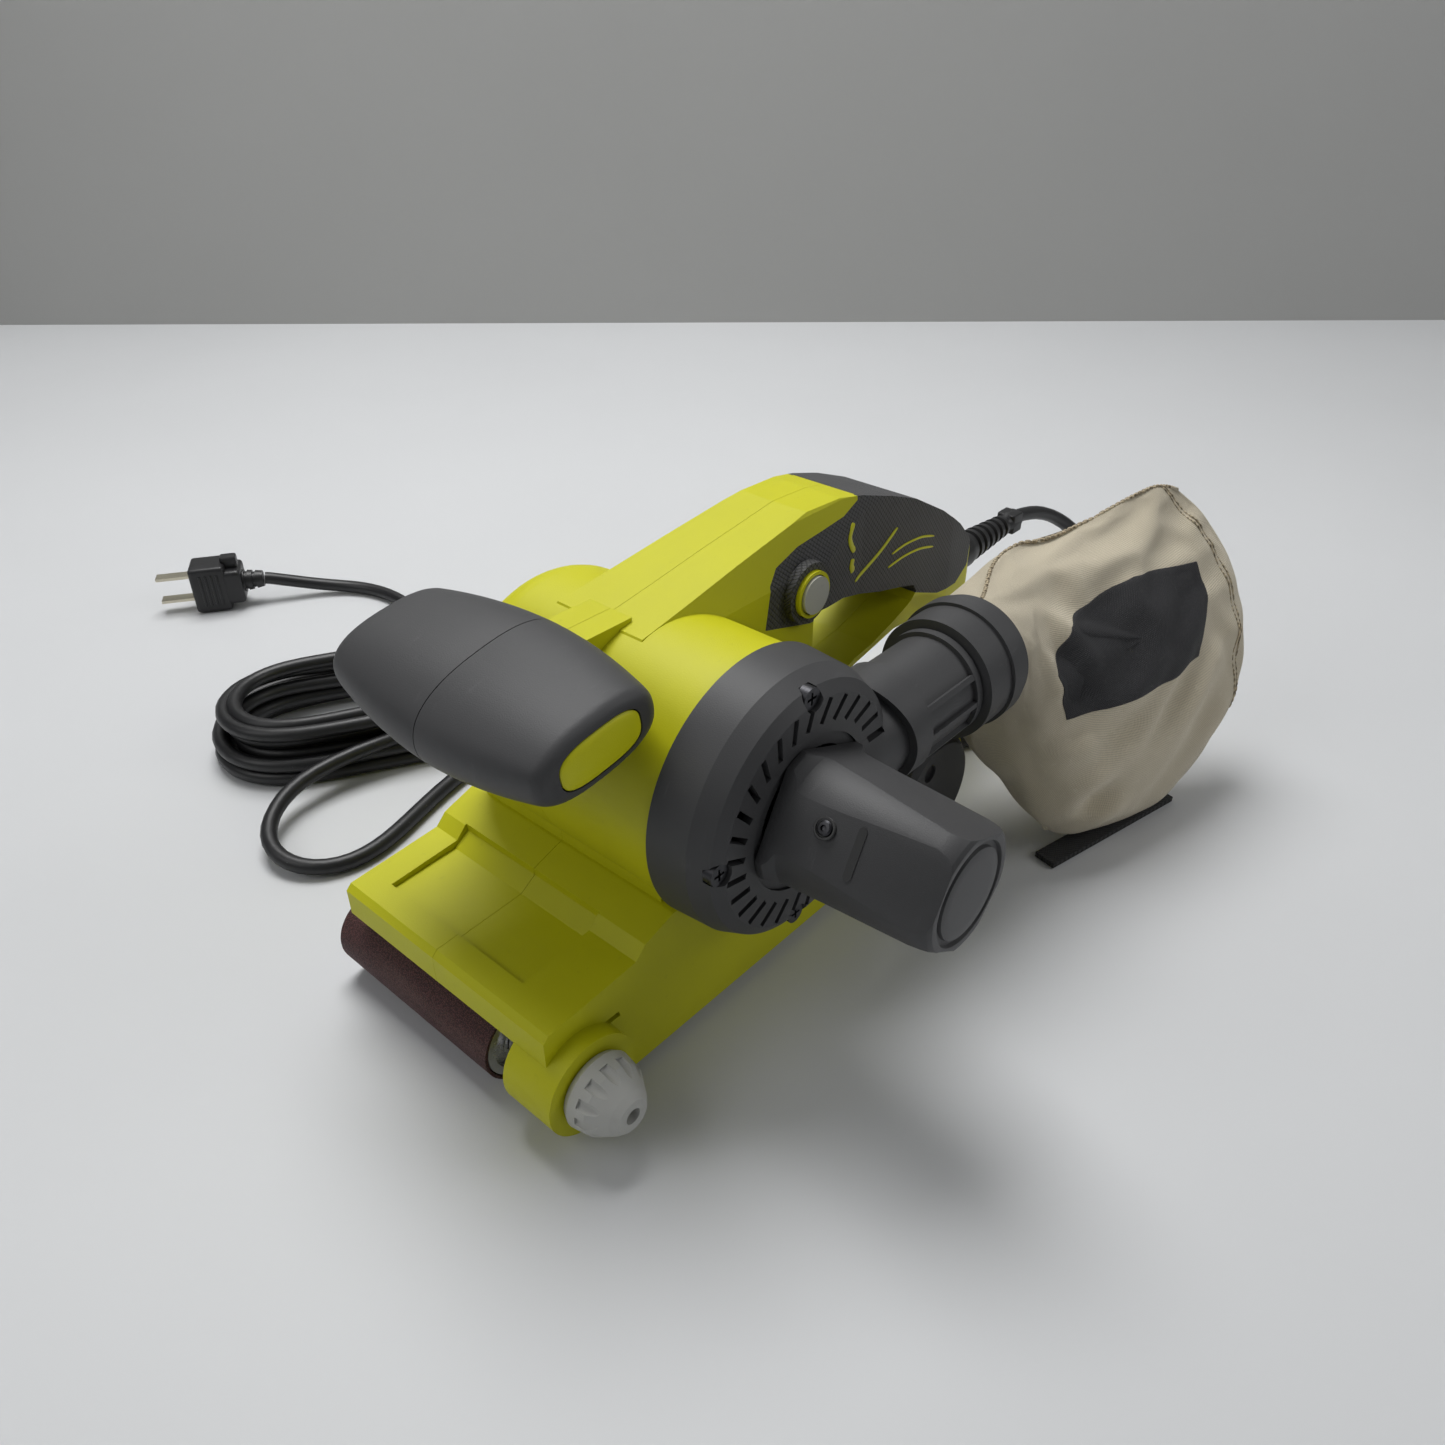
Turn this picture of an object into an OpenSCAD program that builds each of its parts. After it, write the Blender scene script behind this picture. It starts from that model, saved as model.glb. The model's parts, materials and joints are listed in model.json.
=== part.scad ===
// Handheld belt sander, 3 x 18 inch belt, with a dust bag and a mains lead.
// Millimetres. Origin: centre of the flat sanding face under the handle plane.
// +X runs back to the rear handle, +Y to the open side of the belt, +Z up.

/* [Sanding belt] */
// Width of the abrasive belt
belt_w = 76.2; // [60:0.1:90]
// Length of the abrasive belt round its loop
belt_len = 457.2; // [420:0.1:530]
// Thickness of the belt with its grit
belt_t = 1; // [0.8:0.1:1.6]
// Distance of the belt's centre line from the handle plane
belt_off = 15; // [10:1:20]

/* [Rollers] */
// Radius of the front, idle roller
front_r = 13; // [11:0.5:14]
// Radius of the rear, driving roller over its rubber
rear_r = 19; // [17:0.5:20]
// Room between the front roller and the belt, for steering
steer_gap = 0.4; // [0.3:0.1:0.8]
// Place of the front roller's axle along the tool
front_x = -90; // [-95:1:-86]
// Radius of the roller axles
axle_r = 4; // [3:0.5:5]
// How far the front roller draws back to free the belt
retract = 7; // [4:1:8]

/* [Motor] */
// Place of the motor shaft along the tool
motor_x = -16; // [-20:1:-10]
// Height of the motor shaft
motor_z = 84; // [80:1:90]
// Outer radius of the motor barrel
barrel_r = 42; // [40:0.5:46]
// Wall of the plastic housings
wall = 3; // [2:0.5:4]
// Radius of the motor shaft
shaft_r = 4; // [3:0.5:5]
// Radius of the armature core
armature_r = 19; // [16:0.5:21]
// Length of the armature and field cores
core_len = 38; // [28:1:40]
// Outer radius of the dust fan
fan_r = 34; // [28:1:35]

/* [Drive belt] */
// Pitch radius of the motor pulley
small_r = 6.5; // [6:0.5:7]
// Pitch radius of the roller pulley
big_r = 13; // [12:0.5:13.5]
// Width of the toothed drive belt
drive_w = 8; // [6:1:8]

/* [Motor cap] */
// Outer radius of the louvred cap where it meets the barrel
cap_r = 44; // [43:0.5:48]
// Depth of the louvred cap
cap_len = 23; // [20:1:26]
// Number of louvres round the nose
louvres = 30; // [20:2:36]
// Radius of the nose at its root
nose_root_r = 25; // [24:0.5:30]
// Radius of the nose at its end
nose_end_r = 20; // [16:0.5:22]
// Length of the nose
nose_len = 53; // [44:1:60]

/* [Dust port] */
// Outer radius of the dust tube
port_r = 17.5; // [14:0.5:18]
// Distance of the dust tube's axis from the handle plane
port_y = -61; // [-63:1:-58]
// Place of the dust tube's mouth
port_end = 84; // [80:1:90]
// Outer radius of the bag's collar
collar_r = 22; // [21.5:0.5:24]

/* [Handles] */
// Half of the main handle's width at the switch
handle_w = 20; // [18:0.5:22]
// Half of the grip's width
grip_w = 17; // [15:0.5:18]
// Length of the front handle across the tool
front_handle_len = 92; // [86:1:110]
// Thickness of the soft grip skin
skin = 2; // [1.5:0.5:2.5]

/* [Knob and lever] */
// Radius of the tracking knob
knob_r = 12.5; // [12:0.5:14]
// Length of the tracking knob
knob_len = 16; // [14:1:24]
// Length of the belt release lever
lever_len = 62; // [50:1:64]

/* [Lead] */
// Diameter of the mains lead
cord_d = 6.4; // [5.5:0.1:7.5]
// Length of the strain relief
relief_len = 48; // [36:1:54]

/* [Hidden] */
$fn = 64;
play = 0.05;         // radial running clearance of a shaft in its hole
clear = 0.4;         // clearance between pieces that move past each other
seat = 0.15;         // gap between pieces that are screwed together
cut = 1;             // how far a cutting shape runs past the face it cuts

// Sanding belt loop: both rollers stand on the flat lower run
front_in = front_r + steer_gap;
rear_in = rear_r + 0.1;
front_z = front_in + belt_t;
rear_z = rear_in + belt_t;
mean_a = front_in + belt_t / 2;
mean_b = rear_in + belt_t / 2;
free_run = (belt_len - PI * (mean_a + mean_b)) / 2;
rear_x = front_x + free_run - pow(mean_b - mean_a, 2) / free_run;
top_angle = 2 * atan2(rear_z - front_z, rear_x - front_x);
belt_y0 = belt_off - belt_w / 2;
belt_y1 = belt_off + belt_w / 2;

// Planes across the tool
cover_y0 = -50;                 // left face of the base cover and barrel
cover_y1 = 45;                  // right face of the base cover
plate_y0 = belt_y0 - 9;         // side plate of the frame
plate_y1 = belt_y0 - 2;
pulley_y0 = cover_y0 + 1;       // drive belt compartment
pulley_y1 = pulley_y0 + drive_w + 3;
cap_y1 = cover_y0 - seat;       // louvred cap
cap_y0 = cap_y1 - cap_len;
nose_y1 = cap_y0 - seat;
nose_y0 = nose_y1 - nose_len;

// Heights
deck_z = 6;                     // underside of the frame over the platen
deck_top = 13;
lip_z = 32;                     // lower edge of the cover over the front roller
skirt_z = 4;                    // lower edge of the left skirt

lime = "yellowgreen";
dark = "dimgray";

// ---------------------------------------------------------------- helpers
// Extrudes a side outline, drawn in X and Z, from y0 to y1
module across(y0, y1) {
    translate([0, y1, 0]) rotate([90, 0, 0]) linear_extrude(y1 - y0) children();
}
// Cylinder along Y
module bar_y(x, z, r, y0, y1, n = 64) {
    translate([x, y1, z]) rotate([90, 0, 0]) cylinder(r = r, h = y1 - y0, $fn = n);
}
// Cylinder along X
module bar_x(y, z, r, x0, x1, n = 64) {
    translate([x0, y, z]) rotate([0, 90, 0]) cylinder(r = r, h = x1 - x0, $fn = n);
}
// Cylinder along Z
module bar_z(x, y, r, z0, z1, n = 48) {
    translate([x, y, z0]) cylinder(r = r, h = z1 - z0, $fn = n);
}
// Box from its lowest corner to its highest corner
module box(a, b) {
    translate(a) cube(b - a);
}
// Turned piece about an axis along Y, drawn as radius and y
module turned_y(x, z, outline, n = 96) {
    translate([x, 0, z]) rotate([-90, 0, 0]) rotate_extrude($fn = n) polygon(outline);
}
// Ring along Y
module ring_y(x, z, r_out, r_in, y0, y1) {
    difference() {
        bar_y(x, z, r_out, y0, y1);
        bar_y(x, z, r_in, y0 - cut, y1 + cut);
    }
}
// Points of an arc about c from angle a to b
function arc(c, r, a, b, n = 12) = [for (i = [0:n]) c + r * [cos(a + (b - a) * i / n), sin(a + (b - a) * i / n)]];

// Side outline of a loop round both rollers, with the two radii
module loop_2d(ra, rb) {
    polygon(concat(
        arc([front_x, front_z], ra, 90 + top_angle, 270, 40),
        arc([rear_x, rear_z], rb, -90, 90 + top_angle, 40)
    ));
}
// Side outline of a loop round the two drive pulleys
module drive_2d(extra) {
    d = [rear_x - motor_x, rear_z - motor_z];
    slope = atan2(d[1], d[0]);
    lean = 90 + asin((big_r - small_r) / norm(d));
    polygon(concat(
        arc([motor_x, motor_z], small_r + extra, slope + lean, slope + 360 - lean, 30),
        arc([rear_x, rear_z], big_r + extra, slope - lean, slope + lean, 30)
    ));
}

// ---------------------------------------------------------------- housings
// Side outline of the base cover, closed down to its lower edges
module cover_2d() {
    polygon(concat(
        [[front_x - 12, lip_z], [front_x - 12, 41.5], [front_x - 10, 43.5], [front_x + 24, 46]],
        [[front_x + 28, 50], [motor_x - 34, 54], [motor_x + 34, 56], [rear_x - 20, 53]],
        arc([rear_x, rear_z + 4], 26, 80, -20, 10),
        [[rear_x + 26, lip_z - 18], [rear_x - 40, lip_z - 18], [front_x + 20, lip_z - 18], [front_x + 16, lip_z]]
    ));
}
// Side outline of the main handle with its strut
module handle_2d() {
    polygon([
        [-34, 116], [-27, 125], [-5, 128.3], [18, 132], [54, 137.2], [72, 136.6], [84, 134.2],
        [101, 129], [118, 122.5], [140, 110.5], [158, 98.5], [171, 87.5], [179, 78.5], [183, 71],
        [182.5, 64], [178, 60], [150, 61.5], [122, 63.5], [107, 60.5], [80, 55.5], [54, 46], [20, 46], [0, 84]
    ]);
}
strut_w = 9;                    // half of the strut's width
// Side outline of the hand opening behind the trigger
module hand_opening_2d() {
    polygon([
        [53, 82], [60, 74.5], [70, 69.8], [80, 68.8], [95, 70.8], [110, 75], [121, 79],
        [124.5, 82], [122, 85.5], [112, 88.5], [98, 92], [84, 96.5], [72, 100], [53, 102]
    ]);
}
// Plan outline of the main handle: half widths along the tool
module handle_plan_2d(extra) {
    w = handle_w + extra;
    g = grip_w + extra;
    polygon(concat(
        [[-40, w], [60, w], [84, g], [120, g - 0.5], [150, g - 2], [172, g - 6]],
        [[184 + extra, 5], [184 + extra, -5]],
        [[172, 6 - g], [150, 2 - g], [120, 0.5 - g], [84, -g], [60, -w], [-40, -w]]
    ));
}
// What is outside the handle's sides, which lean in above the switch
module beside_handle(inset) {
    for (m = [0, 1]) mirror([0, m, 0]) rotate([90, 0, 90]) translate([0, 0, -60]) linear_extrude(260)
        polygon([[handle_w + 1 - inset, 116], [handle_w - 5 - inset, 136], [handle_w - 9 - inset, 142], [60, 142], [60, 116]]);
}
// Region of the strut, which is narrower than the handle
module below_handle_2d() {
    polygon([
        [46, 86], [54, 80], [62, 71], [80, 66], [110, 72], [123, 80], [136, 76], [150, 69], [168, 61], [172, 40], [-60, 40], [-60, 86]
    ]);
}
// The whole lime shell before it is split at the handle plane
module shell_outer() {
    // base cover over the sanding belt
    across(cover_y0, cover_y1) cover_2d();
    // left skirt down to the work
    across(cover_y0, plate_y0 - clear) polygon([
        [front_x + 12, skirt_z], [rear_x + 16, skirt_z], [rear_x + 25, 14], [rear_x + 25, 30],
        [front_x + 4, 30], [front_x + 4, 12]
    ]);
    // boss of the tracking knob
    bar_y(front_x - 1, 20, 16.5, cover_y0 - 6, -36);
    // neck between cover and barrel
    box([motor_x - 33, -44, 46], [motor_x + 36, 38, motor_z]);
    // drive belt case behind the barrel
    across(cover_y0, plate_y0 - clear) drive_2d(5.6);
    bar_y(rear_x, rear_z + 5, 24.5, cover_y0 - 3, plate_y0 - clear);
    // motor barrel, rounded at its far end
    turned_y(motor_x, motor_z, concat(
        [[0, cover_y0], [barrel_r, cover_y0], [barrel_r, cover_y1 - 14]],
        [for (p = arc([barrel_r - 14, cover_y1 - 14], 14, 0, 90, 8)) p],
        [[0, cover_y1]]
    ));
    // main handle
    difference() {
        intersection() {
            across(-handle_w - 14, handle_w + 14) handle_2d();
            translate([0, 0, 40]) linear_extrude(110) handle_plan_2d(0);
        }
        across(-handle_w - 15, handle_w + 15) hand_opening_2d();
        across(strut_w, handle_w + 15) below_handle_2d();
        across(-handle_w - 15, -strut_w) below_handle_2d();
        beside_handle(0);
    }
    // lug that holds the front handle
    box([-41, -9, 112], [-22, 9, 127]);
}
// Everything that is cut out of the lime shell
module shell_inner() {
    // tunnel of the sanding belt, open below
    across(plate_y0 - clear, cover_y1 + cut) {
        loop_2d(front_in + belt_t + 1.8, rear_in + belt_t + 1.8);
        polygon([[front_x - 20, -5], [rear_x + 40, -5], [rear_x + 40, rear_z - 8], [front_x - 20, front_z]]);
    }
    // motor space
    bar_y(motor_x, motor_z, barrel_r - wall, cover_y0 - cut, cover_y1 - 14);
    bar_y(motor_x, motor_z, barrel_r - wall - 10, cover_y0, cover_y1 - wall);
    // drive belt compartment
    across(cover_y0 - 4, plate_y0 - clear + cut) drive_2d(3.2);
    // room under the cover for the frame's side plate
    box([front_x + 24, plate_y0 - clear, skirt_z - 2], [rear_x + 20, belt_y0, 44]);
    // hollow of the neck, where dust rises to the fan
    box([motor_x + 4, -40, 38], [motor_x + 30, 30, motor_z - 20]);
    // shallow recess in the top of the cover
    across(-30, 34) polygon([[front_x - 3, 60], [front_x - 2, 42.3], [front_x + 22.6, 43.6], [front_x + 28.6, 47.6], [front_x + 28.6, 60]]);
    // knob screw and its spring
    bar_y(front_x - 1, 20, 3.2, cover_y0 - 20, 0);
    bar_y(front_x - 1, 20, 7, cover_y0 - 7, cover_y0 + 5);
    // handle space
    difference() {
        intersection() {
            across(-handle_w, handle_w) polygon([
                [20, 100], [20, 126], [54, 131], [72, 130.5], [100, 123], [118, 117], [146, 100], [164, 86],
                [171, 78], [171, 70], [160, 72], [146, 80], [128, 87], [108, 95], [84, 102], [66, 106], [44, 104],
                [40, 98], [40, 88], [28, 88]
            ]);
            translate([0, 0, 40]) linear_extrude(110) handle_plan_2d(-wall - 1);
        }
        beside_handle(wall + 1);
    }
    // trigger slot, button hole and cord hole
    box([41, -7.5, 70], [70, 7.5, 110]);
    bar_y(47, 113, 8.4, -40, -12.5);
    bar_x(0, 73, 8, 160, 190);
    // lug slot: the front handle's neck clamps here
    box([-43, -4, 120.3], [-29, 4, 124.7]);
    // pocket of the dust tube's root
    bar_x(port_y, motor_z + 1, port_r + 2.4, motor_x + 30, port_end + 10);
    // flat bed of the grip skin
    grip_zone(skin);
}
// Screw bosses and switch ribs, which stand in the hollows
module shell_posts() {
    for (p = screw_places()) bar_y(p[0], p[1], 5.4, -p[3], p[3], 48);
    for (s = [-1, 1]) {
        mirror([0, s > 0 ? 1 : 0, 0]) box([61, 8 + seat, 111], [64, handle_w - wall, 117]);
        mirror([0, s > 0 ? 1 : 0, 0]) box([83, 8 + seat, 111], [86, grip_w - wall, 117]);
    }
}
// Screw sockets and the trigger's pin holes
module shell_holes() {
    for (p = screw_places()) {
        bar_y(p[0], p[1], 2, -11, 60, 32);
        bar_y(p[0], p[1], 4.6, p[2], 80, 48);
    }
    bar_y(trig_x, trig_z, 1.5 + play, -12.5, 12.5, 32);
}
// Housing screws: x, z, depth of the head seat, half length of the boss
function screw_places() = [
    [10, 122, 12, handle_w - wall], [133, 98, 9, grip_w - wall - cut],
    [158, 84, 4, grip_w - 6], [98, 65.5, 5, 7], [58, 62, 5, 7]
];
// Space of the soft grip: a jacket round the rear handle
module grip_zone(t) {
    difference() {
        across(-60, 60) polygon([
            [82, 140], [81, 133.5], [72, 130.5], [60, 129.5], [46, 128.5], [34, 125.5], [29.5, 121], [27, 106],
            [51, 99], [72, 98], [84, 94.5], [98, 90], [112, 86.5], [125, 81],
            [142, 74], [160, 71], [171, 74.5], [176.5, 82], [173, 92], [150, 110], [118, 130], [92, 138]
        ]);
        difference() {
            intersection() {
                across(-60, 60) polygon([
                    [20, 80], [50, 80], [54, 102 + t], [72, 100 + t], [84, 96.5 + t], [98, 92 + t], [112, 88.5 + t],
                    [128, 84 + t], [142, 76 + t], [160, 73 + t], [168, 76 + t], [171 - t, 84 - t],
                    [158 - t, 98.5 - t], [140 - t, 110 - t], [118 - t, 122 - t], [101, 129 - 1.2 * t],
                    [84, 134 - 1.2 * t], [72, 150], [20, 150]
                ]);
                translate([0, 0, 40]) linear_extrude(110) handle_plan_2d(-t);
            }
            beside_handle(t);
        }
    }
}

// The hollow shell with its posts and holes
module shell() {
    difference() {
        union() {
            difference() {
                shell_outer();
                shell_inner();
            }
            shell_posts();
        }
        shell_holes();
    }
}
module left_housing() {
    color(lime) difference() {
        shell();
        box([-140, -seat / 2, -10], [220, 90, 160]);
    }
}
module right_housing() {
    color(lime) difference() {
        shell();
        box([-140, -90, -10], [220, seat / 2, 160]);
    }
}
// One half of the soft grip skin; side is -1 for left and 1 for right
module grip_skin(side) {
    difference() {
        intersection() {
            across(-handle_w - 14, handle_w + 14) handle_2d();
            translate([0, 0, 40]) linear_extrude(110) handle_plan_2d(0);
            grip_zone(skin - seat);
        }
        across(-handle_w - 15, handle_w + 15) hand_opening_2d();
        beside_handle(0);
        for (p = screw_places()) if (side > 0) bar_y(p[0], p[1], 4.6, 0, 80);
        box([41, -7.5, 70], [70, 7.5, 110]);
        bar_x(0, 73, 8, 160, 190);
        box([-50, side > 0 ? -60 : -seat / 2, 0], [250, side > 0 ? seat / 2 : 60, 200]);
    }
}
module grip_skin_left() {
    color(dark) difference() {
        union() {
            grip_skin(-1);
            // boss round the lock button
            bar_y(47, 113, 10.8, -handle_w - 3, 0.5 - handle_w);
        }
        bar_y(47, 113, 8.4, -40, 0);
    }
}
module grip_skin_right() {
    color(dark) grip_skin(1);
}

// ---------------------------------------------------------------- front handle
front_grip_x = -72;             // centre of the front handle's bar
front_grip_z = 117;
bar_end = front_handle_len / 2;
// Side outline of the bar
function bar_side() = [
    [-43, 116], [-42, 127], [-49, 132], [-58, 134], [-74, 131.5], [-88, 126.5], [-96, 121.5],
    [-99, 116], [-97, 109], [-91, 103.5], [-81, 100.5], [-68, 101], [-54, 106.5]
];
// Plan outline of half the bar, right side
function bar_plan() = [
    [-40, 0], [-41, 9], [-49, 16], [-55, 26], [-58, bar_end - 7], [-61, bar_end - 2], [-66, bar_end],
    [-80, bar_end], [-87, bar_end - 2.5], [-91, bar_end - 9], [-96, bar_end - 26], [-99, 12], [-100, 0]
];
// Outline across the tool, right side: the bar thins towards its end
function bar_front() = [
    [0, 140], [14, 134.5], [bar_end - 14, 134], [bar_end - 4, 131], [bar_end, 126], [bar_end, 113],
    [bar_end - 4, 109], [bar_end - 18, 104], [14, 100], [0, 98]
];
// The bar's right half, solid, shrunk about its middle by k
module bar_solid(k) {
    c = [front_grip_x, 0, front_grip_z];
    translate(c) scale(k) translate(-c) intersection() {
        across(0, bar_end + 1) polygon(bar_side());
        translate([0, 0, 90]) linear_extrude(60) polygon(bar_plan());
        rotate([90, 0, 90]) translate([0, 0, -110]) linear_extrude(80) polygon(bar_front());
    }
}
module oval_insert_2d(grow) {
    for (s = [-1, 1]) translate([front_grip_x - 2 + s * 7, front_grip_z + 3 - s * 3.2]) circle(5 + grow);
    polygon([
        [front_grip_x - 9, front_grip_z + 11.2 + grow], [front_grip_x + 5, front_grip_z + 4.8 + grow],
        [front_grip_x + 5, front_grip_z - 5.2 - grow], [front_grip_x - 9, front_grip_z + 1.2 - grow]
    ]);
}
// Half of the front handle: a shell with half of the neck tongue
module front_handle_half() {
    difference() {
        union() {
            difference() {
                bar_solid(1);
                bar_solid(0.87);
            }
            box([-52, 0, 116], [-41 - seat, 9, 128]);
            box([-45, 0, 120.5], [-29.5, 4 - seat, 124.5]);
            bar_y(front_grip_x, front_grip_z, 5, 0, bar_end - 6);
        }
        box([-110, -10, 90], [-20, seat / 2, 150]);
        across(bar_end - 2.5, bar_end + 1) oval_insert_2d(seat);
        bar_y(front_grip_x, front_grip_z, 1.6, -1, bar_end - 12);
        bar_y(motor_x, motor_z, barrel_r + seat, -60, 60, 96);
    }
}
module front_handle_left() {
    color(dark) mirror([0, 1, 0]) front_handle_half();
}
module front_handle_right() {
    color(dark) front_handle_half();
}
module front_handle_inserts() {
    color(lime) for (m = [0, 1]) mirror([0, m, 0]) intersection() {
        across(bar_end - 2.5 + seat, bar_end) oval_insert_2d(0);
        bar_solid(1);
    }
}

// ---------------------------------------------------------------- motor cap and nose
module motor_cap() {
    slot_r = (nose_root_r + cap_r - 5) / 2 + 1;
    color(dark) difference() {
        union() {
            turned_y(motor_x, motor_z, [
                [nose_root_r - 4, cap_y1 - 2], [nose_root_r - 4, cap_y0], [cap_r - 7, cap_y0],
                [cap_r - 3.5, cap_y0 + 2.5], [cap_r - 1, cap_y0 + 9], [cap_r, cap_y1], [nose_root_r, cap_y1]
            ]);
            // collar that takes the root of the dust tube
            bar_x(port_y, motor_z + 1, port_r - 1, motor_x + 20, motor_x + cap_r + 3);
        }
        // fan chamber
        turned_y(motor_x, motor_z, [
            [0, cap_y1 + cut], [0, cap_y0 + wall], [cap_r - 8, cap_y0 + wall],
            [cap_r - 1 - wall, cap_y0 + 10], [cap_r - wall, cap_y1 + cut]
        ]);
        bar_x(port_y, motor_z + 1, port_r - wall, motor_x + cap_r - 10, motor_x + cap_r + 10);
        // louvres
        for (i = [0:louvres - 1])
            translate([motor_x, cap_y0 - cut, motor_z]) rotate([0, i * 360 / louvres, 0])
                translate([slot_r - 4.5, 0, -1.1]) rotate([0, 24, 0]) cube([8, wall + 2 * cut, 2]);
        // the collar stops short of the nose and of the drive
        bar_y(motor_x, motor_z, nose_root_r + seat, nose_y0, cap_y0 + cut);
        bar_y(motor_x, motor_z, cap_r + 0.6, cap_y1, cap_y1 + 20, 96);
        // nose seat and shaft space
        bar_y(motor_x, motor_z, nose_root_r - 5, cap_y0 - cut, cap_y0 + wall + cut);
        for (p = cap_screw_places()) {
            bar_y(p[0], p[1], 2.1, cap_y0 - cut, cap_y1 + cut, 24);
            bar_y(p[0], p[1], 3.8, cap_y0 - cut, cap_y0 + 4.4, 32);
        }
    }
}
// Places of the cap's screws round the motor axis
function cap_screw_places() = [
    for (a = [90, 180, 265, 325]) [motor_x + (cap_r - 6) * cos(a), motor_z + (cap_r - 6) * sin(a)]
];
module cap_screws() {
    color("darkslategray") for (p = cap_screw_places()) {
        bar_y(p[0], p[1], 1.9, cap_y0 + 4.2, cap_y1 - 0.3, 24);
        difference() {
            bar_y(p[0], p[1], 3.4, cap_y0 + 1.2, cap_y0 + 4.25, 32);
            translate([p[0] - 0.4, cap_y0, p[1] - 2]) cube([0.8, 2.4, 4]);
            translate([p[0] - 2, cap_y0, p[1] - 0.4]) cube([4, 2.4, 0.8]);
        }
    }
}
module nose_cover() {
    color(dark) difference() {
        turned_y(motor_x, motor_z, [
            [0, nose_y1], [nose_root_r, nose_y1], [nose_root_r, nose_y1 - 3], [nose_root_r - 1.5, nose_y1 - 10],
            [nose_end_r + 4, nose_y0 + 14], [nose_end_r + 1, nose_y0 + 2.5], [nose_end_r - 1, nose_y0], [0, nose_y0]
        ]);
        // hollow, with the seat of the outer bearing
        bar_y(motor_x, motor_z, nose_end_r - 1, nose_y0 + wall, nose_y1 + cut);
        bar_y(motor_x, motor_z, nose_root_r - 4, nose_y1 - 9, nose_y1 + cut);
        // ring groove in the end face
        difference() {
            ring_y(motor_x, motor_z, nose_end_r - 4, nose_end_r - 5.5, nose_y0 - cut, nose_y0 + 1.5);
            for (a = [0, 60, 120]) translate([motor_x, nose_y0, motor_z]) rotate([0, a, 0])
                cube([2 * nose_end_r, 6, 5], center = true);
        }
    }
    // spider that carries the bearing
    color(dark) {
        difference() {
            union() {
                ring_y(motor_x, motor_z, 13.5, 11 + play, nose_y1 - 17, nose_y1 - 9);
                for (a = [0, 90, 180, 270]) translate([motor_x, nose_y1 - 13, motor_z]) rotate([0, a, 0])
                    translate([12.5, -4, -1.5]) cube([nose_end_r - 12.5, 8, 3]);
            }
            bar_y(motor_x, motor_z, 11 + play, nose_y1 - 18, nose_y1 - 8);
        }
    }
}
module dust_tube() {
    z = motor_z + 1;
    root = motor_x + cap_r + 1;
    color(dark) difference() {
        union() {
            bar_x(port_y, z, port_r, root - 6, port_end);
            // swelling over the root, and a stop flange for the collar
            bar_x(port_y, z, port_r + 2, root - 6, root + 8);
            bar_x(port_y, z, port_r + 1.6, port_end - 20, port_end - 17);
            for (a = [-30, 0, 30]) translate([root + 8, port_y, z]) rotate([a, 0, 0])
                translate([0, -port_r - 1.5, -1]) cube([port_end - 28 - root, 3, 2]);
        }
        bar_x(port_y, z, port_r - wall, root - 10, port_end + cut);
        bar_x(port_y, z, port_r - 1 + seat, root - 10, motor_x + cap_r + 3 + seat);
        bar_y(motor_x, motor_z, cap_r + seat, -90, -30);
        box([0, -50 + seat, 0], [root + 16, 0, 200]);
    }
}

// ---------------------------------------------------------------- pulley cover
module pulley_cover() {
    color(dark) difference() {
        turned_y(rear_x, rear_z + 5, [
            [0, cover_y0 - 3 - seat], [22.5, cover_y0 - 3 - seat], [22.5, cover_y0 - 5], [20.5, cover_y0 - 7], [0, cover_y0 - 7]
        ]);
        bar_y(rear_x - 6, rear_z + 17, 3.6, cover_y0 - 8, cover_y0 - 5, 32);
        bar_y(rear_x - 6, rear_z + 17, 1.7, cover_y0 - 8, cover_y0, 24);
    }
}
module pulley_cover_screw() {
    color("darkslategray") {
        bar_y(rear_x - 6, rear_z + 17, 3.2, cover_y0 - 6.2, cover_y0 - 5, 32);
        bar_y(rear_x - 6, rear_z + 17, 1.5, cover_y0 - 5, cover_y0 - 3, 24);
    }
}
module housing_screws() {
    color("silver") for (p = screw_places()) {
        bar_y(p[0], p[1], 1.9, -10, p[2] + 0.2, 24);
        difference() {
            bar_y(p[0], p[1], 4.2, p[2] + 0.2, p[2] + 3, 32);
            translate([p[0] - 0.5, p[2] + 1.5, p[1] - 2.5]) cube([1, 3, 5]);
            translate([p[0] - 2.5, p[2] + 1.5, p[1] - 0.5]) cube([5, 3, 1]);
        }
    }
}

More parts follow.
